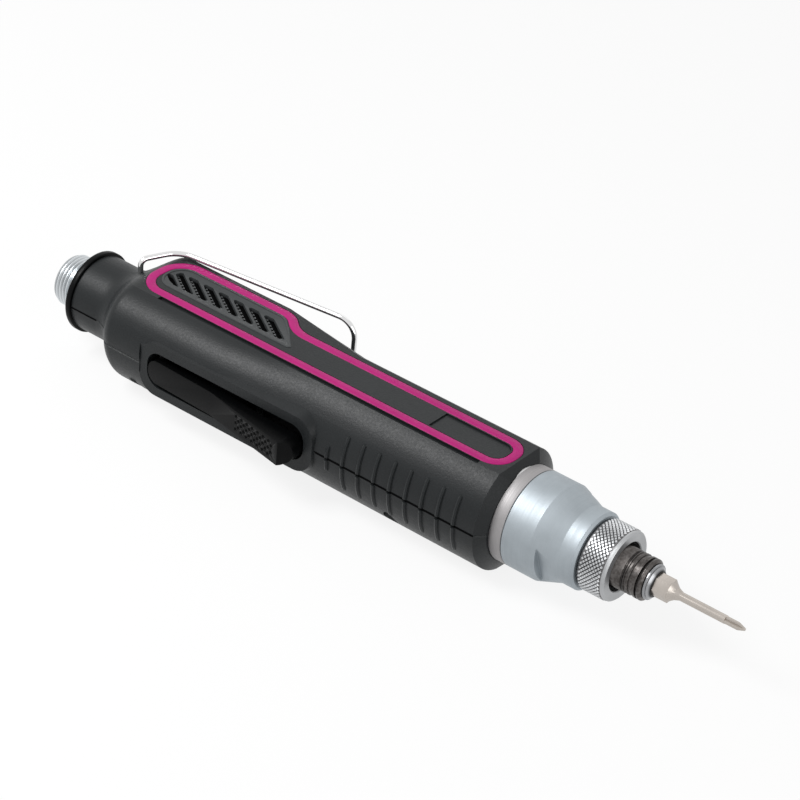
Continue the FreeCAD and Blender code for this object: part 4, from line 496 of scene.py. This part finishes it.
class SCREWDRIVER_OT_stage(bpy.types.Operator):
    """Sets up the floor, the soft light and the camera"""

    bl_idname = "screwdriver.stage"
    bl_label = "Set the Stage"

    def execute(self, context):
        scene = context.scene
        studio = scene.screwdriver_studio
        scene.view_settings.view_transform = "Standard"
        self.add_floor(studio)
        self.add_world(scene)
        middle = (Vector(CAD_BOX[0]) + Vector(CAD_BOX[1])) / 2
        lamps = (
            ("key_light", (-0.39, -0.34, 0.61), 0.34, studio.key_power),
            ("fill_light", (0.74, -0.14, 0.27), 0.5, studio.fill_power),
            ("rim_light", (-0.2, 0.65, 0.5), 0.5, studio.rim_power),
        )
        for name, offset, size, power in lamps:
            self.add_lamp(name, middle + Vector(offset), middle, size, power)
        self.add_camera(scene, studio)
        return {"FINISHED"}

    def add_floor(self, studio):
        gap, width, squares = 0.00005, 6, 8
        deselect_all()
        bpy.ops.mesh.primitive_grid_add(
            x_subdivisions=squares, y_subdivisions=squares, size=width,
            location=(0, 0, CAD_BOX[0][2] - gap))
        floor = settled("floor")
        dress(floor, self.floor_finish(studio))

    def floor_finish(self, studio):
        """Paper that looks white where nothing shades it, and keeps the object's shadow."""
        grain, strength, relief = 300, 0.1, 0.0001
        white_share = 0.86
        material = new_finish("floor_paper", studio.floor, roughness=0.9, specular=0.1)
        add_bump(material, noise(material, grain), strength, relief)
        tree = material.node_tree
        glow = tree.nodes.new("ShaderNodeEmission")
        blend = tree.nodes.new("ShaderNodeMixShader")
        lift = tree.nodes.new("ShaderNodeMath")
        lift.operation = "MULTIPLY"
        lift.inputs[1].default_value = white_share
        tree.links.new(seen_by(tree, "Is Camera Ray", "Is Glossy Ray"), lift.inputs[0])
        tree.links.new(lift.outputs["Value"], blend.inputs["Fac"])
        tree.links.new(tree.nodes["Principled BSDF"].outputs["BSDF"], blend.inputs[1])
        tree.links.new(glow.outputs["Emission"], blend.inputs[2])
        tree.links.new(blend.outputs["Shader"], tree.nodes["Material Output"].inputs["Surface"])
        return material

    def add_world(self, scene):
        """A world that shows white and lights the object more softly."""
        light_level, white = 0.3, 1.0
        world = bpy.data.worlds.new("studio_world")
        scene.world = world
        world.use_nodes = True
        tree = world.node_tree
        background = tree.nodes["Background"]
        background.inputs["Color"].default_value = (*WHITE, 1)
        level = tree.nodes.new("ShaderNodeMapRange")
        level.inputs["To Min"].default_value = light_level
        level.inputs["To Max"].default_value = white
        seen = seen_by(tree, "Is Camera Ray", "Is Glossy Ray", "Is Transmission Ray")
        tree.links.new(seen, level.inputs["Value"])
        tree.links.new(level.outputs["Result"], background.inputs["Strength"])

    def add_lamp(self, name, place, target, size, power):
        deselect_all()
        bpy.ops.object.light_add(type="AREA", location=place)
        lamp = bpy.context.object
        lamp.name = name
        lamp.data.shape = "SQUARE"
        lamp.data.size = size
        lamp.data.energy = power
        lamp.rotation_euler = (target - place).to_track_quat("-Z", "Y").to_euler()

    def add_camera(self, scene, studio):
        """Stands at the photograph's viewing point, with its slight roll."""
        place = Vector((0.3437, -0.5458, 0.4510))
        right = Vector((0.7753, 0.6253, 0.0886))
        up = Vector((-0.4001, 0.3778, 0.8349))
        back = Vector((0.4886, -0.6828, 0.5431))
        roll = 0.0044
        right, up = right - up * roll, up + right * roll
        turn = Matrix((right, up, back)).transposed().to_4x4()
        deselect_all()
        bpy.ops.object.camera_add()
        camera = bpy.context.object
        camera.name = "photo_camera"
        camera.data.lens = studio.lens
        camera.data.sensor_width = 36
        camera.data.clip_start = 0.01
        camera.matrix_world = Matrix.Translation(place) @ turn
        scene.camera = camera


class SCREWDRIVER_OT_finishes(bpy.types.Operator):
    """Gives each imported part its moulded, turned, plated or wound finish"""

    bl_idname = "screwdriver.finishes"
    bl_label = "Finish the Parts"

    def execute(self, context):
        colours = context.scene.screwdriver_colours
        self.dress_mouldings(colours)
        self.dress_front(colours)
        self.dress_tail(colours)
        self.dress_inside(colours)
        return {"FINISHED"}

    def dress_mouldings(self, colours):
        housing = moulded_finish(
            "charcoal_moulding", colours.housing, roughness=0.42, strength=0.7, specular=0.22)
        dress_nodes(housing, "upper_shell", "lower_shell")
        accent = moulded_finish("magenta_band", colours.accent, roughness=0.45, **SMOOTH_GRAIN)
        dress_nodes(accent, "accent_band")
        grille = moulded_finish("grille_grey", colours.grille, roughness=0.46, specular=0.25)
        dress_nodes(grille, "vent_grille")
        trim = moulded_finish(
            "black_trim", colours.trim, roughness=0.33, specular=0.08, **SMOOTH_GRAIN)
        dress_nodes(trim, "tail_ring", "reverse_rocker", "start_paddle")
        dark = moulded_finish("black_moulding", colours.switches, roughness=0.6, specular=0.1)
        dress_nodes(
            dark, "start_switch", "switch_plunger", "reverse_switch", "connector_insert",
            "board_components", "vent_screen")

    def dress_front(self, colours):
        nose = turned_finish("satin_nose", colours.nose, roughness=0.53)
        dress_nodes(nose, "nose_cone", "motor_front_plate")
        flange = turned_finish("warm_flange", colours.flange, roughness=0.58)
        dress_nodes(flange, "nose_flange")
        patch_scale, patch_shade = 1300, (0.5, 0.48, 0.47)
        chuck = turned_finish("dark_chuck", colours.chuck, roughness=0.34, patina=0.3)
        mottle(chuck, patch_scale, patch_shade)
        dress_nodes(chuck, "bit_sleeve")
        # Painted shade: the spindle's end face darkens close round the bit, for the shadow in the gap
        # between them.
        hole, rim, painted_hole_shade = 0.0041, 0.0046, (0.04, 0.04, 0.04)
        spindle = turned_finish("spindle_steel", colours.spindle, roughness=0.26)
        paint_groove_shade(spindle, hole, rim, painted_hole_shade)
        dress_nodes(spindle, "spindle")
        clip = turned_finish("chuck_rings", colours.clip, roughness=0.24)
        dress_nodes(clip, "sleeve_clip")
        bit = turned_finish("nickel_bit", colours.bit, roughness=0.36, lines=3000, relief=0.00005)
        dress_nodes(bit, "driver_bit")

    def dress_tail(self, colours):
        zinc = turned_finish("zinc_connector", colours.connector, roughness=0.3)
        dress_nodes(zinc, "connector_flange", "connector_barrel")
        smears, bright, dull = 260, 0.07, 0.16
        wire = new_finish("polished_wire", colours.bail, roughness=0.1, metallic=1.0)
        vary_roughness(wire, noise(wire, smears, detail=3), bright, dull)
        dress_nodes(wire, "hanging_bail")

    def dress_inside(self, colours):
        steel = turned_finish("ground_steel", colours.steel, roughness=0.32)
        dress_nodes(
            steel, "gear_case", "gear_cover", "ring_gear", "clutch_balls", "clutch_plate",
            "torque_spring", "front_motor_bearing", "rear_motor_bearing", "rocker_pin",
            "rotor_shaft", "sun_gear_1", "sun_gear_2", "planet_carrier_1", "planet_carrier_2",
            "bit_balls", "sleeve_spring", "spring_seat", "torque_ring")
        for stage in (1, 2):
            dress_nodes(steel, *["planet_gear_%d%s" % (stage, letter) for letter in "abc"])
        black = turned_finish("blackened_steel", colours.black_steel, roughness=0.5, patina=0.3)
        dress_nodes(
            black, "motor_can", "paddle_pin", "paddle_spring", "case_screws", "motor_end_cap")
        bronze = turned_finish("sintered_bronze", colours.bronze, roughness=0.45, patina=0.2)
        dress_nodes(bronze, "spindle_bush", "nose_bush", "connector_contacts")
        copper = turned_finish("enamelled_copper", colours.copper, roughness=0.35)
        dress_nodes(copper, "stator_coils")
        iron = turned_finish("laminated_iron", colours.iron, roughness=0.5)
        dress_nodes(iron, "stator_core", "rotor_magnet")
        board = moulded_finish("solder_mask", colours.board, roughness=0.35)
        dress_nodes(board, "circuit_board")


class SCREWDRIVER_OT_soft_edges(bpy.types.Operator):
    """Rounds the edges of the moulded and turned parts that show"""

    bl_idname = "screwdriver.soft_edges"
    bl_label = "Rounded Edges"

    def execute(self, context):
        detail = context.scene.screwdriver_detail
        soft, hard = detail.soft_edge, detail.turned_edge
        parts = (
            ("accent_band", "band_rounded", "housing", "accent", soft),
            ("vent_grille", "grille_rounded", "housing", "grille", soft),
            ("tail_ring", "tail_ring_rounded", "housing", "black_trim", soft),
            ("reverse_rocker", "rocker_rounded", "rocker", "black_trim", soft),
            ("connector_flange", "connector_flange_rounded", "housing", "connector", hard),
            ("sleeve_clip", "clip_rounded", "spindle", "polished", hard),
            ("driver_bit", "bit_rounded", "spindle", "bit", hard / 2),
        )
        for node, name, body, slot, width in parts:
            piece = soft_copy(node, name, width)
            dress(piece, finish_of(node))
            stand_for(piece, node, body)
        return {"FINISHED"}


class SCREWDRIVER_OT_torque_ring(bpy.types.Operator):
    """Models the torque ring with its diamond knurl"""

    bl_idname = "screwdriver.torque_ring"
    bl_label = "Torque Ring"

    def execute(self, context):
        detail = context.scene.screwdriver_detail
        colours = context.scene.screwdriver_colours
        low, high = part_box("torque_ring")
        tail, front, crest = low[0], high[0], high[2]
        root = crest - detail.knurl_height
        knurled_length, rear_bevel, lip_length = 0.0094, 0.00045, 0.0012
        rear = front - knurled_length
        knurl_rear, knurl_front = rear + rear_bevel, front - lip_length
        knurl = self.knurl_band(detail, knurl_rear, knurl_front, root)
        collar_outside, tail_middle, rear_drop = 0.0098, 0.0075, 0.0004
        collar = turned("torque_ring_collar", [
            (tail, tail_middle), (tail, collar_outside), (rear, collar_outside),
            (rear, root - rear_drop), (knurl_rear, root),
        ], detail.knurl_count)
        lip_rise, lip_slope, bevel = 0.0001, 0.00015, 0.0005
        bore, mouth, mouth_rim, mouth_bevel, mouth_floor = 0.00705, 0.00785, 0.0081, 0.0003, 0.0205
        lip = turned("torque_ring_lip", [
            (knurl_front, root), (knurl_front + lip_slope, root + lip_rise),
            (front - bevel, root + lip_rise / 2), (front, root - bevel), (front, mouth_rim),
            (front - mouth_bevel, mouth), (mouth_floor, mouth), (mouth_floor, bore),
            (tail, bore), (tail, tail_middle),
        ], detail.knurl_count)
        finish = turned_finish("knurled_ring", colours.ring, roughness=0.36)
        # Painted shade: the knurl's colour darkens towards the bottom of its grooves, where shadow
        # falls.
        painted_groove_shade = (0.26, 0.25, 0.25)
        paint_groove_shade(finish, root, crest, painted_groove_shade)
        dress(knurl, finish)
        face_share = 0.75
        plain = turned_finish("ring_face", tone(colours.ring, face_share), roughness=0.45)
        dress(collar, plain)
        dress(lip, plain)
        ring = join([knurl, collar, lip])
        bpy.ops.object.mode_set(mode="EDIT")
        close_mesh(MERGE_GAP * 2)
        bpy.ops.object.mode_set(mode="OBJECT")
        smooth(ring, degrees=22)
        stand_for(ring, "torque_ring", "torque_ring")
        return {"FINISHED"}

    def knurl_band(self, detail, rear, front, root):
        """Splits each square at its middle, joins the halves of neighbours to diamonds, raises them."""
        rows = detail.knurl_rows
        step = (front - rear) / rows
        places = [rear + step * row for row in range(rows + 1)]
        outline = [(place, root) for place in places]
        band = turned("torque_ring_knurled", outline, detail.knurl_count)
        corners = len(band.data.vertices)
        bpy.ops.object.mode_set(mode="EDIT")
        bpy.ops.mesh.select_all(action="SELECT")
        bpy.ops.mesh.poke(offset=0)
        bpy.ops.object.mode_set(mode="OBJECT")
        for edge in band.data.edges:
            ends = [band.data.vertices[number].co.x for number in edge.vertices]
            at_rim = all(min(abs(x - rear), abs(x - front)) < MERGE_GAP for x in ends)
            of_square = all(number < corners for number in edge.vertices)
            edge.select = of_square and not at_rim
        for polygon in band.data.polygons:
            polygon.select = False
        for vertex in band.data.vertices:
            vertex.select = False
        bpy.ops.object.mode_set(mode="EDIT")
        bpy.ops.mesh.select_mode(type="EDGE")
        bpy.ops.mesh.dissolve_edges(use_verts=False)
        bpy.ops.mesh.select_mode(type="FACE")
        bpy.ops.mesh.select_all(action="SELECT")
        bpy.ops.mesh.normals_make_consistent(inside=False)
        bpy.ops.object.mode_set(mode="OBJECT")
        for polygon in band.data.polygons:
            polygon.select = len(polygon.vertices) == 4
        bpy.ops.object.mode_set(mode="EDIT")
        bpy.ops.mesh.inset(
            thickness=detail.knurl_flank, depth=detail.knurl_height,
            use_individual=True, use_even_offset=False)
        bpy.ops.mesh.select_mode(type="VERT")
        bpy.ops.object.mode_set(mode="OBJECT")
        return band


class SCREWDRIVER_OT_connector(bpy.types.Operator):
    """Models the tail connector's barrel with its thread"""

    bl_idname = "screwdriver.connector"
    bl_label = "Tail Connector"

    def execute(self, context):
        detail = context.scene.screwdriver_detail
        colours = context.scene.screwdriver_colours
        low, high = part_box("connector_barrel")
        end, front, crest = low[0], high[0], high[2]
        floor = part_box("connector_insert")[1][0]
        root = crest - detail.thread_depth
        pitch, turns = detail.thread_pitch, detail.thread_turns
        wall, barrel_length, shank = 0.0014, 0.0093, 0.0072
        bore, shoulder = crest - wall, end + barrel_length
        bevel, run_in, thread_start = 0.0006, (0.0005, 0.0002), 0.0007
        outline = [
            (floor, 0), (floor, bore), (end + bevel, bore), (end, bore + bevel / 2),
            (end, crest - bevel), (end + run_in[0], root + run_in[1]),
        ]
        crest_start, crest_end = 0.42, 0.58
        for turn in range(turns):
            place = end + thread_start + pitch * turn
            outline += [
                (place, root), (place + pitch * crest_start, crest),
                (place + pitch * crest_end, crest), (place + pitch, root),
            ]
        relief = 0.0003
        place = end + thread_start + pitch * turns
        outline += [
            (place + relief, root), (place + relief * 2, crest), (shoulder, crest),
            (shoulder, shank), (front, shank), (front, 0),
        ]
        barrel = turned("connector_thread", outline)
        smooth(barrel, degrees=28)
        finish = turned_finish("zinc_thread", colours.connector, roughness=0.28)
        # Painted shade: the thread's colour darkens towards the bottom of its grooves, where shadow
        # falls.
        painted_groove_shade = (0.12, 0.12, 0.125)
        paint_groove_shade(finish, root - detail.thread_depth, crest, painted_groove_shade)
        dress(barrel, finish)
        stand_for(barrel, "connector_barrel", "housing")
        return {"FINISHED"}


class SCREWDRIVER_OT_screen(bpy.types.Operator):
    """Makes the screen behind the vent: punched strips along the slots over a backing painted near
    black as shade inside the vent
    """

    bl_idname = "screwdriver.screen"
    bl_label = "Vent Screen"

    def execute(self, context):
        detail = context.scene.screwdriver_detail
        colours = context.scene.screwdriver_colours
        low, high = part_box("vent_screen")
        middle = (low[2] + high[2]) / 2
        edge, cutter_height = 0.00005, 0.004
        cover, cover_offset = (0.5, 0.5, cutter_height), 0.0021
        backing = soft_copy("vent_screen", "vent_screen_punched", edge)
        cut_away(backing, block("screen_slab", (0, 0, middle + cover_offset), cover))
        # The backing is the screen's own part, painted near black and nearly without sheen: partly
        # painted shade for the dark inside of the vent.
        dress(backing, moulded_finish("vent_backing_painted_shade", colours.vent, roughness=0.8, specular=0.02))
        strips = soft_copy("vent_screen", "screen_strips", edge)
        grille_corner = Vector((-0.1391, 0.0074, middle))
        along = Vector((0.0115, -0.0076, 0)).normalized()
        across = Vector((-along.y, along.x, 0))
        slot_spacing = 0.0063
        slot_pitch = slot_spacing * across.x
        step = across * slot_pitch
        rows, rows_before, columns = 20, 5, 42
        first = grille_corner - step * rows_before
        to_opening, opening_size = 0.00205, (0.08, 0.0015, cutter_height)
        slant = (0, 0, math.atan2(along.y, along.x))
        openings = block("screen_slab", first + across * to_opening, opening_size, slant)
        repeat(openings, "openings", step, rows)
        cut_away(strips, openings)
        to_hole, before_corner = 0.0008, 0.03
        hole_place = first + across * to_hole - along * before_corner
        holes = rod("screen_holes", hole_place, detail.hole_radius, cutter_height, sides=10)
        repeat(holes, "along", along * detail.hole_pitch, columns)
        repeat(holes, "across", step, rows)
        cut_away(strips, holes)
        cut_away(strips, block("screen_slab", (0, 0, middle - cover_offset), cover))
        dress(strips, moulded_finish("punched_strips", colours.strips, roughness=0.4, specular=0.3))
        screen = join([backing, strips])
        smooth(screen)
        stand_for(screen, "vent_screen", "housing")
        return {"FINISHED"}


class SCREWDRIVER_OT_paddle(bpy.types.Operator):
    """Rounds the start paddle's edges and sinks the grip dimples into its front pad"""

    bl_idname = "screwdriver.paddle"
    bl_label = "Start Paddle"

    def execute(self, context):
        detail = context.scene.screwdriver_detail
        colours = context.scene.screwdriver_colours
        edge = 0.0007
        paddle = soft_copy("start_paddle", "paddle_dimpled", edge, segments=3)
        kink = Vector((-0.102, -0.0216, 0))
        tip = Vector((-0.07, -0.0275, 0))
        along = (tip - kink).normalized()
        outward = Vector((along.y, -along.x, 0))
        from_kink, proud, columns = 0.0128, 0.0003, 7
        start = kink + along * from_kink + outward * proud
        step = along * detail.dimple_pitch
        rise = Vector((0, 0, 0.0023))
        lowest, lowest_between = Vector((0, 0, -0.0031)), Vector((0, 0, -0.00195))
        rows = self.dimples(detail, start + lowest, step, rise, columns, 3)
        between = self.dimples(detail, start + step / 2 + lowest_between, step, rise, columns, 2)
        cut_away(paddle, join([rows, between]))
        smooth(paddle, degrees=38)
        dress(paddle, moulded_finish(
            "paddle_black", colours.trim, roughness=0.36, specular=0.08, **SMOOTH_GRAIN))
        stand_for(paddle, "start_paddle", "paddle")
        return {"FINISHED"}

    def dimples(self, detail, start, step, rise, columns, rows):
        """Balls in columns and rows, to cut with."""
        deselect_all()
        bpy.ops.mesh.primitive_uv_sphere_add(
            segments=8, ring_count=6, radius=detail.dimple_radius, location=start)
        balls = settled("dimple_cutter")
        repeat(balls, "along", step, columns)
        repeat(balls, "rise", rise, rows)
        return balls


class SCREWDRIVER_OT_nose(bpy.types.Operator):
    """Turns the nose cone and its flange, and mills the wrench flats"""

    bl_idname = "screwdriver.nose"
    bl_label = "Nose"

    def execute(self, context):
        edge = context.scene.screwdriver_detail.turned_edge
        bore, steps = 0.01305, 160
        self.add_cone(edge, bore, steps)
        self.add_flange(edge, bore, steps)
        return {"FINISHED"}

    def add_cone(self, edge, bore, steps):
        low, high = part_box("nose_cone")
        rear, front, radius = low[0], high[0], high[2]
        taper_start, taper_end, tip = 0.0141, 0.022, 0.01239
        bore_end, mouth = 0.0156, 0.00985
        rear_bevel, tip_bevel = 0.00035, 0.0008
        cone = turned("nose_turned", [
            (rear, bore), (rear, radius - rear_bevel), (rear + rear_bevel, radius),
            (taper_start, radius), (taper_end, tip), (front - tip_bevel, tip),
            (front, tip - tip_bevel), (front, mouth), (bore_end, mouth), (bore_end, bore),
            (rear, bore),
        ], steps)
        flat_start, flat_reach = 0.0160, 0.0125
        for side in (1, -1):
            cut_away(cone, self.flat(side, flat_start, front, flat_reach))
        round_edges(cone, edge / 2, degrees=14)
        smooth(cone, degrees=9)
        dress(cone, finish_of("nose_cone"))
        stand_for(cone, "nose_cone", "housing")

    def add_flange(self, edge, bore, steps):
        low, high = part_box("nose_flange")
        rear, front, radius = low[0], high[0], high[2]
        flange = turned("flange_turned", [
            (rear, bore), (rear, radius), (front, radius), (front, bore), (rear, bore),
        ], steps)
        round_edges(flange, edge)
        dress(flange, finish_of("nose_flange"))
        stand_for(flange, "nose_flange", "housing")

    def flat(self, side, rear, front, reach):
        """A block that takes one wrench flat off, turned with the nose."""
        width, height, spare = 0.04, 0.006, 0.0001
        turn = math.radians(21)
        outward = Vector((0, math.cos(turn), math.sin(turn))) * side
        place = Vector(((rear + front) / 2, 0, 0)) + outward * (reach + height / 2)
        size = (front - rear + spare, height, width)
        return block("flat_cutter", place, size, (turn, 0, 0))


class SCREWDRIVER_OT_sleeve(bpy.types.Operator):
    """Turns the grooves into the bit sleeve"""

    bl_idname = "screwdriver.sleeve"
    bl_label = "Bit Sleeve"

    def execute(self, context):
        edge = context.scene.screwdriver_detail.turned_edge / 2
        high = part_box("bit_sleeve")[1]
        spare, slope = 0.001, 0.0001
        front, outside = high[0], high[2] + spare
        sleeve = soft_copy("bit_sleeve", "sleeve_grooved", edge)
        # Each groove's start and end behind the front face, and the radius of its floor.
        grooves = ((0.0068, 0.0064, 0.0062), (0.0043, 0.0028, 0.0061), (0.0019, 0.0013, 0.0057))
        for start, stop, floor in grooves:
            rear, end = front - start, front - stop
            cut_away(sleeve, turned("groove_cutter", [
                (rear, floor), (end, floor), (end + slope, outside), (rear - slope, outside),
                (rear, floor),
            ]))
        bevel_rear, bevel_front = front - 0.0006, front + 0.0002
        bevel_wide, bevel_narrow = 0.0064, 0.0058
        cut_away(sleeve, turned("front_cutter", [
            (bevel_rear, bevel_wide), (bevel_front, bevel_narrow), (bevel_front, outside),
            (bevel_rear, outside), (bevel_rear, bevel_wide),
        ]))
        smooth(sleeve, degrees=25)
        dress(sleeve, finish_of("bit_sleeve"))
        stand_for(sleeve, "bit_sleeve", "sleeve")
        return {"FINISHED"}


class SCREWDRIVER_OT_ribs(bpy.types.Operator):
    """Raises the finger ribs on both sides of the grip, above and below the parting line"""

    bl_idname = "screwdriver.ribs"
    bl_label = "Grip Ribs"

    def execute(self, context):
        detail = context.scene.screwdriver_detail
        first, long_rib, short_rib = -0.0098, 27, 11
        pitch, count = -detail.rib_pitch, detail.rib_count
        ribs = []
        for side in (-1, 1):
            for up in (1, -1):
                row = self.rib(detail, first, side, up, long_rib)
                repeat(row, "grip_row", (pitch, 0, 0), count)
                ribs += [row, self.rib(detail, first + pitch * count, side, up, short_rib)]
        grip = join(ribs)
        grip.name = "grip_ribs"
        smooth(grip, degrees=40)
        dress(grip, finish_of("upper_shell"))
        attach(grip, "housing")
        return {"FINISHED"}

    def rib(self, detail, place, side, up, degrees):
        """A round bar half sunk in the grip, whose outer end dips into it."""
        radius, start, bends = 0.0195, 1.3, 7
        dips = ((0.9, 0.00025), (1.4, 0.0008))
        path = [(start + (degrees - start) * bend / bends, radius) for bend in range(bends + 1)]
        path += [(degrees + further, radius - depth) for further, depth in dips]
        points = []
        for angle, reach in path:
            turn = math.radians(angle)
            points.append((place, side * reach * math.cos(turn), up * reach * math.sin(turn)))
        start_chain("grip_rib", points)
        bpy.ops.object.mode_set(mode="OBJECT")
        bpy.ops.object.convert(target="CURVE")
        bar = bpy.context.object.data
        bar.bevel_depth = detail.rib_radius
        bar.bevel_resolution = 2
        bar.use_fill_caps = True
        bpy.ops.object.convert(target="MESH")
        rib = bpy.context.object
        bpy.ops.object.mode_set(mode="EDIT")
        close_mesh()
        bpy.ops.object.mode_set(mode="OBJECT")
        return rib


class SCREWDRIVER_OT_seam(bpy.types.Operator):
    """Lays the dark line of the joint between the shells"""

    bl_idname = "screwdriver.seam"
    bl_label = "Parting Line"

    def execute(self, context):
        detail = context.scene.screwdriver_detail
        colours = context.scene.screwdriver_colours
        # How far the line lies from the axis at the neck, the rear and the grip, and where it runs.
        neck, rear, grip = 0.01301, 0.02098, 0.0196
        neck_start, neck_end, grip_end = -0.169, -0.1585, -0.0027
        runs = (
            ((neck_start, -neck), (neck_end, -neck)),
            ((-0.0618, -grip), (grip_end, -grip)),
            ((neck_start, neck), (neck_end, neck)),
            ((-0.1445, rear), (-0.1235, rear)),
            ((-0.1, rear - 0.00014), (-0.07, grip), (grip_end, grip)),
        )
        seam = join([self.strip(run, detail.seam_width / 2) for run in runs])
        seam.name = "parting_line"
        dress(seam, moulded_finish("seam_black", colours.seam, roughness=0.8, specular=0.02))
        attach(seam, "housing")
        return {"FINISHED"}

    def strip(self, run, half):
        """A flat bar along the run, let into the wall."""
        thickness = 0.0003
        inward = thickness if run[0][1] < 0 else -thickness
        strip = start_chain("seam_strip", [(x, y, -half) for x, y in run])
        for step in ((0, 0, half * 2), (0, inward, 0)):
            bpy.ops.mesh.select_all(action="SELECT")
            bpy.ops.mesh.extrude_region_move(TRANSFORM_OT_translate={"value": step})
        close_mesh()
        bpy.ops.object.mode_set(mode="OBJECT")
        return strip


class SCREWDRIVER_OT_screws(bpy.types.Operator):
    """Cuts the case screws' cross recesses and lines the rear screws' wells"""

    bl_idname = "screwdriver.screws"
    bl_label = "Case Screws"

    def execute(self, context):
        low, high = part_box("case_screws")
        head, front_half, rear_half = 0.0023, 0.0148, 0.0146
        front, rear = high[0] - head, low[0] + head
        screws = plain_copy("case_screws", "screws_recessed")
        for x, half in ((front, front_half), (rear, rear_half)):
            for y in (-half, half):
                self.cut_cross(screws, (x, y, low[2]))
        smooth(screws)
        dress(screws, finish_of("case_screws"))
        stand_for(screws, "case_screws", "housing")
        tubes = join([self.tube(rear, side * rear_half, side) for side in (-1, 1)])
        tubes.name = "screw_tubes"
        smooth(tubes)
        dress(tubes, finish_of("lower_shell"))
        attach(tubes, "housing")
        return {"FINISHED"}

    def cut_cross(self, screws, place):
        length, width, depth = 0.0026, 0.0006, 0.0022
        for size in ((length, width, depth), (width, length, depth)):
            cut_away(screws, block("cross_blade", place, size))

    def tube(self, x, y, side):
        """Carries a rear screw's well on from its boss to the middle of the sloping wall."""
        centre, outside, inside, sides = (x, y, -0.01325), 0.00295, 0.00245, 48
        tube_height, bore_height = 0.0055, 0.008
        tube = rod("screw_tube", centre, outside, tube_height, sides)
        cut_away(tube, rod("tube_bore", centre, inside, bore_height, sides))
        in_wall, cutter_height = Vector((x, y, -0.0124)), 0.01
        slope = math.radians(43) * side
        down = Vector((0, math.sin(slope), -math.cos(slope)))
        place, size = in_wall + down * cutter_height / 2, (0.02, 0.03, cutter_height)
        cut_away(tube, block("wall_cutter", place, size, (slope, 0, 0)))
        return tube


class SCREWDRIVER_OT_springs(bpy.types.Operator):
    """Puts smoothed copies of the paddle's and the sleeve's springs in their places, at their full
    length
    """

    bl_idname = "screwdriver.springs"
    bl_label = "Springs"

    def execute(self, context):
        paddle_press, sleeve_press = 0.0019, 0.00252
        low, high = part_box("paddle_spring")
        keep = 1 - paddle_press / (high[1] - low[1])
        self.shorten("paddle_spring", "paddle_coil", "housing", "paddle_press", (0, 1, 0), high, keep)
        low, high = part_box("sleeve_spring")
        keep = 1 - sleeve_press / (high[0] - low[0])
        self.shorten("sleeve_spring", "sleeve_coil", "spindle", "sleeve_slide", (1, 0, 0), low, keep)
        return {"FINISHED"}

    def shorten(self, node, name, body, joint, axis, anchor, keep):
        coil = plain_copy(node, name)
        smooth(coil)
        dress(coil, finish_of(node))
        stand_for(coil, node, body)
        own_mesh(coil)


class SCREWDRIVER_PT_panel(bpy.types.Panel):
    """Shows the screwdriver's steps and settings"""

    bl_idname = "SCREWDRIVER_PT_panel"
    bl_label = "Electric Screwdriver"
    bl_space_type = "VIEW_3D"
    bl_region_type = "UI"
    bl_category = "Screwdriver"

    def draw(self, context):
        layout = self.layout
        for operator in OPERATORS:
            layout.operator(operator.bl_idname)
        for group in ("screwdriver_colours", "screwdriver_detail", "screwdriver_studio"):
            box = layout.box()
            settings = getattr(context.scene, group)
            for name in settings.__annotations__:
                box.prop(settings, name)


OPERATORS = (
    SCREWDRIVER_OT_stage,
    SCREWDRIVER_OT_finishes,
    SCREWDRIVER_OT_soft_edges,
    SCREWDRIVER_OT_torque_ring,
    SCREWDRIVER_OT_connector,
    SCREWDRIVER_OT_screen,
    SCREWDRIVER_OT_paddle,
    SCREWDRIVER_OT_nose,
    SCREWDRIVER_OT_sleeve,
    SCREWDRIVER_OT_ribs,
    SCREWDRIVER_OT_seam,
    SCREWDRIVER_OT_screws,
    SCREWDRIVER_OT_springs,
)
CLASSES = (
    ScrewdriverColours, ScrewdriverDetail, ScrewdriverStudio, *OPERATORS, SCREWDRIVER_PT_panel,
)


def register():
    for kind in CLASSES:
        bpy.utils.register_class(kind)
    bpy.types.Scene.screwdriver_colours = bpy.props.PointerProperty(type=ScrewdriverColours)
    bpy.types.Scene.screwdriver_detail = bpy.props.PointerProperty(type=ScrewdriverDetail)
    bpy.types.Scene.screwdriver_studio = bpy.props.PointerProperty(type=ScrewdriverStudio)


def unregister():
    del bpy.types.Scene.screwdriver_colours
    del bpy.types.Scene.screwdriver_detail
    del bpy.types.Scene.screwdriver_studio
    for kind in reversed(CLASSES):
        bpy.utils.unregister_class(kind)


def main():
    register()
    bpy.ops.screwdriver.stage()
    bpy.ops.screwdriver.finishes()
    bpy.ops.screwdriver.soft_edges()
    bpy.ops.screwdriver.torque_ring()
    bpy.ops.screwdriver.connector()
    bpy.ops.screwdriver.screen()
    bpy.ops.screwdriver.paddle()
    bpy.ops.screwdriver.nose()
    bpy.ops.screwdriver.sleeve()
    bpy.ops.screwdriver.ribs()
    bpy.ops.screwdriver.seam()
    bpy.ops.screwdriver.screws()
    bpy.ops.screwdriver.springs()
    deselect_all()


if __name__ == "__main__":
    main()
